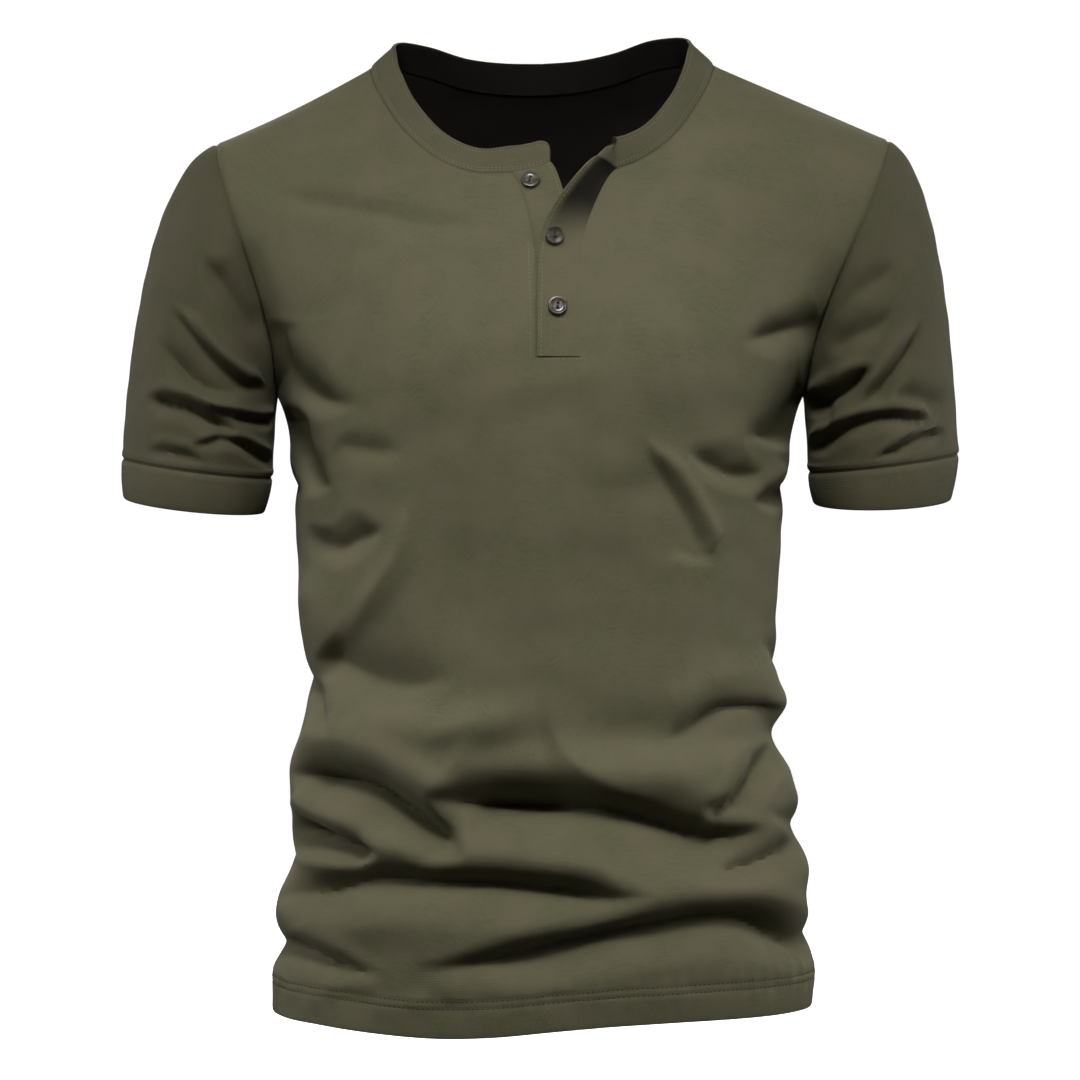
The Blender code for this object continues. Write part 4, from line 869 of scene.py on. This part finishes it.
class Cloth:
    """A piece of cloth as a grid of points on its outer face. relief moves that face alone."""

    def __init__(self, name, grid, looped=False, turned=False, wall=BODY_WALL, proud=0.0, missing=None):
        self.name, self.grid, self.wall, self.proud = name, grid, wall, proud
        self.family = name.split("_")[0].replace("back", "front")
        self.relief = np.zeros(grid.shape[:2])
        self.back_relief = np.zeros(grid.shape[:2])
        points = grid.reshape(-1, 3)
        index = np.arange(len(points)).reshape(grid.shape[:2])
        if looped:
            index = np.concatenate([index, index[:, :1]], axis=1)
        cells = np.stack([index[:-1, :-1], index[:-1, 1:], index[1:, 1:], index[1:, :-1]], axis=-1)
        keep = np.ones(cells.shape[:2], bool)
        if missing is not None:
            keep[missing] = False
        self.cells = cells[keep][:, ::-1] if turned else cells[keep]
        corners = points[self.cells]
        faces = np.cross(corners[:, 2] - corners[:, 0], corners[:, 3] - corners[:, 1])
        self.sums = np.zeros_like(points)
        for corner in range(4):
            np.add.at(self.sums, self.cells[:, corner], faces)
        # The rims are the directed edges that only one cell has.
        edges = np.concatenate([self.cells[:, [i, (i + 1) % 4]] for i in range(4)])
        key, back = edges @ [len(points), 1], edges @ [1, len(points)]
        self.rims = edges[~np.isin(key, back)]

    def note_seams(self, seams):
        """Adds this piece's normal at each point of its edges, so that pieces share them at a seam."""
        points = self.grid.reshape(-1, 3)
        for number in np.unique(self.rims):
            families = seams.setdefault(tuple(np.round(points[number], 3)), {})
            families[self.family] = families.get(self.family, 0.0) + self.sums[number]

    def solve(self, seams):
        """Finds the outer and inner faces."""
        points = self.grid.reshape(-1, 3)
        own = unit(self.sums)
        offset = own.copy()
        for number in np.unique(self.rims):
            families = seams[tuple(np.round(points[number], 3))]
            between = unit(sum(unit(face) for face in families.values()))
            offset[number] = between / max(float(unit(families[self.family]) @ between), 1.0 / MOST_MITRE)
        self.normals = own.reshape(self.grid.shape)
        offset = offset.reshape(self.grid.shape)
        self.outer = self.grid + offset * (self.proud + self.relief)[..., None]
        self.inner = self.grid + offset * (self.proud - self.wall + self.back_relief)[..., None]

    def from_edge(self, edge):
        """The distance of each point of the grid from one of its edges, along the grid."""
        upward = edge in ("bottom", "top")
        reach = along(self.grid if upward else self.grid.transpose(1, 0, 2))
        reach = reach[-1] - reach if edge in ("top", "end") else reach
        return reach if upward else reach.T

    def sew(self, *edges):
        """Draws the cloth in along a seam."""
        for edge in edges:
            self.relief -= SEAM_GROOVE * (1.0 - ramp(self.from_edge(edge) / SEAM_SPREAD))

    def turn_in(self, *edges, by=0.55, over=1.4):
        """Rounds a folded free edge on both faces."""
        for edge in edges:
            drawn = by * (1.0 - np.sqrt(np.clip(self.from_edge(edge) / over, 0.0, 1.0)))
            self.relief -= drawn
            self.back_relief += drawn

    def press(self, edge, distance, depth, spread):
        """Presses a stitched line into the cloth at a distance from an edge."""
        self.relief -= depth * bell(self.from_edge(edge) - distance, spread)

    def line_at(self, edge, distance, first=0):
        """Points on the outer face at a distance from an edge, and the normals there."""
        reach, faces = self.from_edge(edge), np.concatenate([self.outer, self.normals], axis=2)
        if edge in ("bottom", "top"):
            reach, faces = reach.T, faces.transpose(1, 0, 2)
        found = []
        for line in range(first, len(reach)):
            order = np.argsort(reach[line])
            found.append(read_at(distance, reach[line][order], faces[line][order]))
        found = np.array(found)
        return found[:, :3], unit(found[:, 3:])

    def build(self, outside, inside):
        """Makes the closed wall: outer face, inner face and the rims between them. Its distances
        along and across the cloth, in metres, are its texture places."""
        used = np.unique(self.cells)
        count = len(used)
        number = np.zeros(self.relief.size, int)
        number[used] = np.arange(count)
        cells, rims = number[self.cells], number[self.rims]
        points = np.concatenate([self.outer.reshape(-1, 3)[used], self.inner.reshape(-1, 3)[used]])
        edge = np.stack([rims[:, 1], rims[:, 0], rims[:, 0] + count, rims[:, 1] + count], axis=1)
        faces = np.concatenate([cells, cells[:, ::-1] + count, edge])
        slots = np.repeat([0, 1, 0], [len(cells), len(cells), len(edge)])
        made = make_object(self.name + "_cloth", points, faces, [outside, inside], slots)
        places = np.stack([self.from_edge(e).reshape(-1)[used] * MM for e in ("start", "bottom")], axis=1)
        loops = np.empty(len(made.data.loops), np.int32)
        made.data.loops.foreach_get("vertex_index", loops)
        layer = made.data.uv_layers.new(name="threads")
        layer.data.foreach_set("uv", np.tile(places, (2, 1))[loops].astype(np.float32).ravel())
        return made


def make_object(name, points, faces, materials, slots=None, sharp=60.0):
    """A mesh object that is smooth but for edges sharper than this angle in degrees."""
    mesh = bpy.data.meshes.new(name)
    mesh.from_pydata((np.asarray(points) * MM).tolist(), [], [list(map(int, face)) for face in faces])
    for material in materials:
        mesh.materials.append(material)
    if slots is not None:
        mesh.polygons.foreach_set("material_index", np.asarray(slots, np.int32))
    mesh.shade_smooth()
    mesh.set_sharp_from_angle(angle=math.radians(sharp))
    made = bpy.data.objects.new(name, mesh)
    bpy.context.scene.collection.objects.link(made)
    return made


def tube(centres, asides, ups, sides, first=0):
    """Rings of points round a line of centres, and the faces between them. asides and ups reach from
    the centres to the rings, first is the number of the first point, and the last two faces are ends."""
    turn = 2.0 * math.pi * np.arange(sides)[:, None] / sides
    points = centres[:, None] + asides[:, None] * np.cos(turn) + ups[:, None] * np.sin(turn)
    last = first + (len(centres) - 1) * sides
    faces = []
    for low in range(first, last, sides):
        for side in range(sides):
            beside = (side + 1) % sides
            faces.append((low + side, low + beside, low + sides + beside, low + sides + side))
    faces += [tuple(range(first, first + sides))[::-1], tuple(range(last, last + sides))]
    return points.reshape(-1, 3), faces


def sew_on(name, lines, thread, length, gap, width):
    """Rows of stitches as small spindles that lie on the cloth, along lines of points and normals."""
    shape, thickness = STITCH_SHAPE[:, :1], STITCH_SHAPE[:, 1:] * width
    points, faces = [], []
    for places, normals in lines:
        reach = along(places)
        for centre in np.arange(length / 2.0, reach[-1] - length / 2.0, length + gap):
            start, end = read_at(centre + np.array([-0.5, 0.5]) * length, reach, places)
            up = unit(read_at(centre, reach, normals))
            forward = end - start
            middle = (start + end) / 2.0 + up * STITCH_RISE
            aside = unit(np.cross(up, forward))
            up = unit(np.cross(forward, aside))
            across, upward = aside * thickness * 0.5, up * thickness * STITCH_FLATNESS
            first = len(points) * len(shape) * STITCH_SIDES
            made = tube(middle + forward * shape, across, upward, STITCH_SIDES, first)
            points.append(made[0])
            faces += made[1]
    return make_object(name, np.concatenate(points), faces, [thread])


def place_on(grid, across, level):
    """The point of a strip that lies at this place of the front elevation, and its normal."""
    miss = np.linalg.norm(seen(grid) - [across, level], axis=-1)
    spot = np.unravel_index(miss.argmin(), miss.shape)
    row, column = (min(max(at, 2), count - 3) for at, count in zip(spot, miss.shape))
    normal = grid_normals(grid)[row, column]
    normal = normal * -np.sign(normal[1])
    offset = [across, level] - seen(grid[spot])
    aside = unit(np.cross(normal, [0.0, 0.0, 1.0]))
    aside = aside * np.sign(aside[0])
    upright = unit(np.cross(normal, aside))
    upright = upright * np.sign(upright[2])
    return grid[spot] + aside * offset[0] + upright * offset[1], normal


def make_button(name, centre, normal, pearl, thread, tilt):
    """A turned disc with a raised rim and two holes, and the two threads between them."""
    radius, rim = BUTTON_RADIUS, BUTTON_RADIUS - BUTTON_RIM
    dish = BUTTON_THICKNESS - BUTTON_DISH
    # The profile from the middle of its back to the middle of its face: how far out, and how high.
    profile = np.array([
        (radius * 0.70, 0.0), (radius * 0.90, 0.45), (radius * 0.985, 1.05), (radius, 1.5),
        (radius * 0.985, 1.95), (radius * 0.93, BUTTON_THICKNESS - 0.12),
        (rim + BUTTON_RIM * 0.25, BUTTON_THICKNESS), (rim, BUTTON_THICKNESS - 0.06),
        (rim - 0.5, dish + 0.3), (rim - 1.1, dish + 0.02), (radius * 0.45, dish - 0.05),
    ])
    flat = unit(np.cross(normal, [0.0, 0.0, 1.0]))
    upright = np.cross(flat, normal)
    aside = flat * math.cos(tilt) + upright * math.sin(tilt)
    up = upright * math.cos(tilt) - flat * math.sin(tilt)
    reach, height = profile[:, :1], profile[:, 1:]
    points, faces = tube(centre + normal * height, aside * reach, up * reach, BUTTON_SIDES, 1)
    faces = [face[::-1] for face in faces[:-2]]
    last = len(points) - BUTTON_SIDES + 1
    for side in range(BUTTON_SIDES):
        beside = (side + 1) % BUTTON_SIDES
        faces += [(0, 1 + side, 1 + beside), (last + side, len(points) + 1, last + beside)]
    points = np.vstack([centre, points, centre + normal * dish])
    disc = make_object(name + "_disc", points, faces, [pearl], sharp=40.0)
    for way in (-1, 1):
        drill(disc, centre + up * way * BUTTON_HOLE_GAP, normal)
    way = np.array([-1.0, -0.5, 0.0, 0.5, 1.0])[:, None]
    bar = centre + up * way * BUTTON_HOLE_GAP + normal * (dish + 0.45 - 1.4 * np.abs(way) ** 3)
    points, faces = [], []
    for shift in (-0.28, 0.28):
        line = bar + aside * shift
        run = unit(np.gradient(line, axis=0))
        beside = unit(np.cross(run, normal))
        above = np.cross(beside, run)
        first = len(points) * len(line) * THREAD_SIDES
        made = tube(line, beside * THREAD_RADIUS, above * THREAD_RADIUS, THREAD_SIDES, first)
        points.append(made[0])
        faces += made[1]
    return disc, make_object(name + "_thread", np.concatenate(points), faces, [thread])


def drill(disc, start, normal):
    """Cuts one round hole through a disc."""
    aside = unit(np.cross(normal, [0.3, 0.1, 1.0]))
    ends = start + normal * np.array([[-2.0], [BUTTON_THICKNESS + 2.0]])
    reach = np.full((2, 1), BUTTON_HOLE)
    points, faces = tube(ends, aside * reach, np.cross(normal, aside) * reach, DRILL_SIDES)
    cutter = make_object("drill", points, faces, [])
    cut = disc.modifiers.new("hole", "BOOLEAN")
    cut.operation = "DIFFERENCE"
    cut.solver = "EXACT"
    cut.object = cutter
    bpy.context.view_layer.update()
    cut_mesh = bpy.data.meshes.new_from_object(disc.evaluated_get(bpy.context.evaluated_depsgraph_get()))
    disc.modifiers.clear()
    disc.data = cut_mesh
    cut_mesh.name = disc.name
    bpy.data.objects.remove(cutter, do_unlink=True)


def fill(tree, node, inputs):
    """Sets a node's inputs by name or number: a socket is linked to, and anything else is a value."""
    for name, value in inputs.items():
        if isinstance(value, bpy.types.NodeSocket):
            tree.links.new(value, node.inputs[name])
        else:
            node.inputs[name].default_value = value


def add(tree, kind, output, inputs, **settings):
    """Adds a node and gives its output of this name."""
    node = tree.nodes.new("ShaderNode" + kind)
    for name, value in settings.items():
        setattr(node, name, value)
    fill(tree, node, inputs)
    return node.outputs[output]


def add_tones(tree, factor, *stops):
    """Adds a colour ramp between two stops, each a place and a colour."""
    node = tree.nodes.new("ShaderNodeValToRGB")
    tree.links.new(factor, node.inputs["Fac"])
    for element, (place, colour) in zip(node.color_ramp.elements, stops):
        element.position = place
        element.color = (*colour, 1.0)
    return node.outputs["Color"]


def new_material(name, inputs):
    """A material with these values on its shader; gives it with its node tree and the shader."""
    material = bpy.data.materials.new(name)
    material.use_nodes = True
    shader = material.node_tree.nodes["Principled BSDF"]
    fill(material.node_tree, shader, inputs)
    return material, material.node_tree, shader


def paint_flap_shadow(tree, colour, threads, shade):
    """Paints shade up a strip of cloth, darker from one height to another, all but its lit free edge: a
    painted shadow. shade is (from, to, share left).
    """
    start, end, share_left = shade
    place = tree.nodes.new("ShaderNodeSeparateXYZ")
    fill(tree, place, {"Vector": threads})
    up = add(
        tree, "MapRange", "Result",
        {"Value": place.outputs["Y"], "From Min": start, "From Max": end, "To Max": 1.0 - share_left},
        interpolation_type="SMOOTHSTEP",
    )
    inward = add(
        tree, "MapRange", "Result", {"Value": place.outputs["X"], "From Min": 0.001, "From Max": 0.007}
    )
    painted_shadow = add(tree, "Math", "Value", {0: up, 1: inward}, operation="MULTIPLY")
    left = add(tree, "Math", "Value", {0: 1.0, 1: painted_shadow}, operation="SUBTRACT")
    return add(tree, "VectorMath", "Vector", {0: colour, "Scale": left}, operation="SCALE")


def fabric(name, dark, light, warm, roughness, sheen, shade=None):
    """Cotton jersey: fine upright ribs of loops, mottled yarn and a soft bloom, and with shade a painted
    shadow up the strip.
    """
    material, tree, shader = new_material(name, {
        "Roughness": roughness,
        "Sheen Weight": sheen,
        "Sheen Roughness": 0.45,
        "Sheen Tint": (0.62, 0.60, 0.48, 1.0),
        "Specular IOR Level": 0.26,
    })
    places = tree.nodes.new("ShaderNodeTexCoord").outputs
    threads = places["UV"]
    # Yarn: streaks along each row of loops, a few millimetres long, and broad warm blotches.
    drawn_out = add(tree, "Mapping", "Vector", {"Vector": threads, "Scale": (120.0, 460.0, 1.0)})
    streak = add(
        tree, "TexNoise", "Fac", {"Vector": drawn_out, "Scale": 1.0, "Detail": 4.0, "Roughness": 0.72}
    )
    tint = add(
        tree, "Mix", "Result", {"Factor": streak, "A": (*dark, 1.0), "B": (*light, 1.0)}, data_type="RGBA"
    )
    blotch = add(
        tree, "TexNoise", "Fac",
        {"Vector": places["Object"], "Scale": 34.0, "Detail": 5.0, "Roughness": 0.66},
    )
    spread = add(
        tree, "MapRange", "Result", {"Value": blotch, "From Min": 0.40, "From Max": 0.64, "To Max": 0.9}
    )
    colour = add(
        tree, "Mix", "Result", {"Factor": spread, "A": tint, "B": (*warm, 1.0)}, data_type="RGBA"
    )
    # A painted shadow darkens the colour up the strip, all but its free edge.
    if shade is not None:
        colour = paint_flap_shadow(tree, colour, threads, shade)
    # Loops: upright wales crossed by rows, and the yarn's own fuzz.
    wale, course = (
        add(
            tree, "TexWave", "Fac",
            {"Vector": threads, "Scale": scale, "Distortion": bent, "Detail": 1.0, "Detail Scale": 0.6},
            wave_type="BANDS", bands_direction=direction,
        )
        for scale, bent, direction in ((390.0, 0.6, "X"), (300.0, 1.2, "Y"))
    )
    loops = add(tree, "Math", "Value", {0: course, 1: 0.45, 2: wale}, operation="MULTIPLY_ADD")
    fuzz = add(tree, "Math", "Value", {0: streak, 1: 0.9, 2: loops}, operation="MULTIPLY_ADD")
    bump = add(
        tree, "Bump", "Normal", {"Height": fuzz, "Strength": KNIT_STRENGTH, "Distance": KNIT_HEIGHT}
    )
    fill(tree, shader, {"Base Color": colour, "Normal": bump})
    return material


def thread_look(name, colour):
    """Twisted thread."""
    material, tree, shader = new_material(name, {"Roughness": 0.7, "Specular IOR Level": 0.3})
    place = tree.nodes.new("ShaderNodeTexCoord").outputs["Object"]
    twist = add(tree, "TexNoise", "Fac", {"Vector": place, "Scale": 900.0, "Detail": 2.0})
    dark, light = ([part * share for part in colour] for share in (0.72, 1.3))
    fill(tree, shader, {"Base Color": add_tones(tree, twist, (0.0, dark), (1.0, light))})
    return material


def pearl_look():
    """Polished olive-brown plastic with drawn-out clouds, as cut from a cast sheet."""
    material, tree, shader = new_material("button_pearl", {
        "Roughness": 0.30,
        "Specular IOR Level": 0.42,
        "Coat Weight": 0.2,
        "Coat Roughness": 0.12,
    })
    place = tree.nodes.new("ShaderNodeTexCoord").outputs["Object"]
    drawn_out = add(
        tree, "Mapping", "Vector",
        {"Vector": place, "Scale": (120.0, 120.0, 420.0), "Rotation": (0.0, 0.5, 0.3)},
    )
    cloud = add(
        tree, "TexNoise", "Fac",
        {"Vector": drawn_out, "Scale": 1.0, "Detail": 4.0, "Roughness": 0.6, "Distortion": 1.4},
    )
    tones = add_tones(tree, cloud, (0.36, (0.018, 0.015, 0.010)), (0.66, (0.098, 0.088, 0.062)))
    fill(tree, shader, {"Base Color": tones})
    return material


def share_edges(front, back):
    """Makes the side seams and shoulder seams the same points in front and back."""
    back[: ARMPIT_ROW + 1, [0, -1]] = front[: ARMPIT_ROW + 1, [0, -1]]
    for part in (slice(0, NECK_COLUMN + 1), slice(-NECK_COLUMN - 1, None)):
        back[-1, part] = front[-1, part]
    for side, end in ((-1, 0), (1, -1)):
        back[ARMPIT_ROW + 1 : -1, end] = armhole_line(side, False)[1:-1]


def build_pieces():
    """All the cloth, as Cloth by name, with its outer and inner faces found."""
    front, back = body_grid(True), body_grid(False)
    share_edges(front, back)
    under = under_placket(front)
    over = over_placket(front)
    band = band_grid(front, back, under, over)
    front, back = fold_body(front, True), fold_body(back, False)
    share_edges(front, back)
    slot = (slice(SLOT_ROW, None), slice(SLOT_COLUMN, FLAP_COLUMN))
    double = {"wall": DOUBLE_WALL, "proud": BAND_PROUD}
    made = [
        Cloth("front", turn_in_arms(front.copy()), missing=slot),
        Cloth("back", back, turned=True),
    ]
    for side, name in SIDES.items():
        end = 0 if side < 0 else -1
        sleeve = sleeve_grid(side, front[ARMPIT_ROW:, end], back[ARMPIT_ROW:, end])
        sleeve = turn_in_arms(fold_sleeve(side, sleeve))
        made.append(Cloth("sleeve_" + name, sleeve, looped=True, turned=side > 0))
        made.append(Cloth("cuff_" + name, cuff_rings(side), looped=True, turned=side > 0, **double))
    made.append(Cloth("neckband", band, turned=True, **double))
    made.append(Cloth("placket_under", under, wall=PLACKET_WALL))
    made.append(Cloth("placket_over", over[:, ::-1], wall=PLACKET_WALL))
    pieces = {piece.name: piece for piece in made}
    dress_edges(pieces)
    seams = {}
    for piece in made:
        piece.note_seams(seams)
    for piece in made:
        piece.solve(seams)
    return pieces


def dress_edges(pieces):
    """Seams drawn in, free edges rounded and stitched lines pressed."""
    for name in ("front", "back"):
        pieces[name].sew("start", "end", "top")
        pieces[name].turn_in("bottom")
        for distance in HEM_STITCHES:
            pieces[name].press("bottom", distance, depth=0.5, spread=1.2)
    for name in SIDES.values():
        pieces["sleeve_" + name].sew("bottom", "top")
        pieces["sleeve_" + name].press("top", 4.6, depth=-0.7, spread=1.5)
        pieces["cuff_" + name].sew("bottom")
        pieces["cuff_" + name].turn_in("top")
    band = pieces["neckband"]
    band.sew("bottom")
    band.turn_in("top", "start", "end")
    band.press("top", 1.7, depth=-0.4, spread=0.8)
    band.press("top", 3.4, depth=0.4, spread=1.0)
    band.press("bottom", 2.6, depth=0.3, spread=0.9)
    for name, edge in (("placket_under", "end"), ("placket_over", "start")):
        pieces[name].turn_in(edge, by=0.5, over=1.2)
        pieces[name].press(edge, STRIP_STITCHES, depth=0.35, spread=1.0)


def build_stitching(pieces, thread, dark_thread):
    """The visible rows of stitches, by the piece that they are sewn to."""
    front, band = pieces["front"], pieces["neckband"]
    made = {}
    for name in ("front", "back"):
        lines = [pieces[name].line_at("bottom", distance) for distance in HEM_STITCHES]
        made[name] = [sew_on("hem_stitches_" + name, lines, dark_thread, *HEM_THREAD)]
    for name in SIDES.values():
        line = pieces["sleeve_" + name].line_at("top", 2.6)
        line = [np.concatenate([part, part[:1]]) for part in line]
        made["sleeve_" + name] = [sew_on("cuff_stitches_" + name, [line], dark_thread, *CUFF_THREAD)]
    lines = [band.line_at("top", 3.4), band.line_at("bottom", 1.8), band.line_at("bottom", 3.6)]
    made["neckband"] = [sew_on("neck_stitches", lines, thread, *NECK_THREAD)]
    line = pieces["placket_over"].line_at("start", STRIP_STITCHES)
    made["placket_over"] = [sew_on("flap_stitches", [line], thread, *STRIP_THREAD)]
    line = pieces["placket_under"].line_at("end", STRIP_STITCHES, first=40)
    made["placket_under"] = [sew_on("strip_stitches", [line], thread, *STRIP_THREAD)]
    # Up the slot's right edge as far as it is closed, and across its foot.
    open_row = ARMPIT_ROW + int(np.argmax(ARM_PARTS > OPEN_FROM + 0.04))
    edge = (slice(SLOT_ROW, open_row), SLOT_COLUMN - 1)
    foot = (SLOT_ROW - 1, slice(SLOT_COLUMN, FLAP_COLUMN + 3))
    lines = [(front.outer[part], front.normals[part]) for part in (edge, foot)]
    made["front"].append(sew_on("placket_stitches", lines, thread, *STRIP_THREAD))
    return made


def dress():
    """Builds the shirt's pieces in place of their solids."""
    body = ((0.072, 0.070, 0.036), (0.136, 0.131, 0.070), (0.124, 0.109, 0.065))
    jersey = fabric("jersey_outside", *body, 0.80, 0.10)
    cloths = {
        # The flap's fabric has a painted shadow up its lifted top.
        "placket_over": fabric("jersey_flap", *body, 0.85, 0.06, shade=(0.076, 0.116, 0.06)),
        # The sleeves' fabric is a darker copy of the body's: painted shade for the dimmer light on the
        # sleeves.
        "sleeve": fabric(
            "jersey_sleeve", (0.048, 0.046, 0.022), (0.093, 0.089, 0.045), (0.085, 0.073, 0.043), 0.80, 0.08
        ),
        "cuff": fabric(
            "jersey_cuff", (0.056, 0.053, 0.028), (0.097, 0.092, 0.049), (0.091, 0.080, 0.047), 0.82, 0.07
        ),
        "neckband": fabric(
            "jersey_trim", (0.062, 0.059, 0.032), (0.106, 0.101, 0.055), (0.100, 0.088, 0.053), 0.82, 0.08
        ),
    }
    # The inner faces are near black, far darker than the cloth's own wrong side: painted shade for the shirt's
    # shadowed inside.
    inside = fabric(
        "jersey_inside", (0.008, 0.006, 0.004), (0.012, 0.009, 0.006), (0.010, 0.007, 0.005), 0.95, 0.0
    )
    thread = thread_look("thread", (0.160, 0.150, 0.094))
    dark_thread = thread_look("thread_dark", (0.050, 0.047, 0.028))
    pearl = pearl_look()
    pieces = build_pieces()
    sewn = build_stitching(pieces, thread, dark_thread)
    for name, piece in pieces.items():
        outside = cloths.get(name, cloths.get(name.split("_")[0], jersey))
        made = piece.build(outside, inside)
        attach(made, "root")
        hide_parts(name)
        with_it = sewn.get(name, [])
        for rows in with_it:
            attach(rows, "root")
    for name, (strip, across, level, tilt) in BUTTONS.items():
        spot, normal = place_on(pieces[strip].outer, across, level)
        centre = spot + normal * (PLACKET_GAP + 0.1)
        disc, stitch = make_button(name, centre, normal, pearl, dark_thread, tilt)
        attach(disc, "root")
        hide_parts(name)
        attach(stitch, "root")


def light_up():
    """Adds the studio's lights."""
    for name, (place, aim, size, power, spread) in LIGHTS.items():
        light = bpy.data.lights.new(name, "AREA")
        light.shape = "RECTANGLE"
        light.size, light.size_y = size
        light.energy = power
        light.spread = math.radians(spread)
        made = bpy.data.objects.new(name, light)
        made.location = place
        made.rotation_euler = (Vector(aim) - Vector(place)).to_track_quat("-Z", "Y").to_euler()
        bpy.context.scene.collection.objects.link(made)


def studio():
    """Pale floor, white surroundings, soft lights and the camera at the photo's place."""
    scene = bpy.context.scene
    scene.view_settings.view_transform = "Standard"
    world = bpy.data.worlds.new("studio")
    world.use_nodes = True
    sky = world.node_tree
    fill(sky, sky.nodes["Background"], {"Color": (1.0, 1.0, 1.0, 1.0), "Strength": 0.03})
    scene.world = world
    paper = new_material("paper", {
        "Base Color": (0.86, 0.86, 0.86, 1.0),
        "Roughness": 0.95,
        "Emission Color": (1.0, 1.0, 1.0, 1.0),
        "Emission Strength": 1.0,
    })[0]
    far = FLOOR_REACH
    corners = [(x, y, FLOOR_LEVEL) for x, y in ((-far, -far), (far, -far), (far, far), (-far, far))]
    floor = make_object("floor", corners, [(0, 1, 2, 3)], [paper])
    glow = new_material("surround", {
        "Base Color": (0.0, 0.0, 0.0, 1.0),
        "Specular IOR Level": 0.0,
        "Emission Color": (1.0, 1.0, 1.0, 1.0),
        "Emission Strength": 1.05,
    })[0]
    level = math.pi * (np.arange(13)[:, None] + 0.02) / 12.04
    aside, up, upright = np.eye(3) * DOME_RADIUS
    out = np.sin(level)
    points, faces = tube(upright * np.cos(level), aside * out, up * out, DOME_SIDES)
    dome = make_object("surround", points, faces[:-2], [glow])
    for stage in (floor, dome):
        stage.visible_diffuse = False
        stage.visible_glossy = False
        stage.visible_shadow = False
        stage.visible_transmission = False
    light_up()
    camera = bpy.data.cameras.new("camera")
    camera.sensor_width = SENSOR_WIDTH
    camera.lens = SENSOR_WIDTH * VIEW_DISTANCE / VIEW_SPAN
    eye = bpy.data.objects.new("camera", camera)
    eye.location = (0.0, -VIEW_DISTANCE * MM, VIEW_LEVEL * MM)
    eye.rotation_euler = (math.pi / 2.0, 0.0, 0.0)
    scene.collection.objects.link(eye)
    scene.camera = eye


dress()
studio()
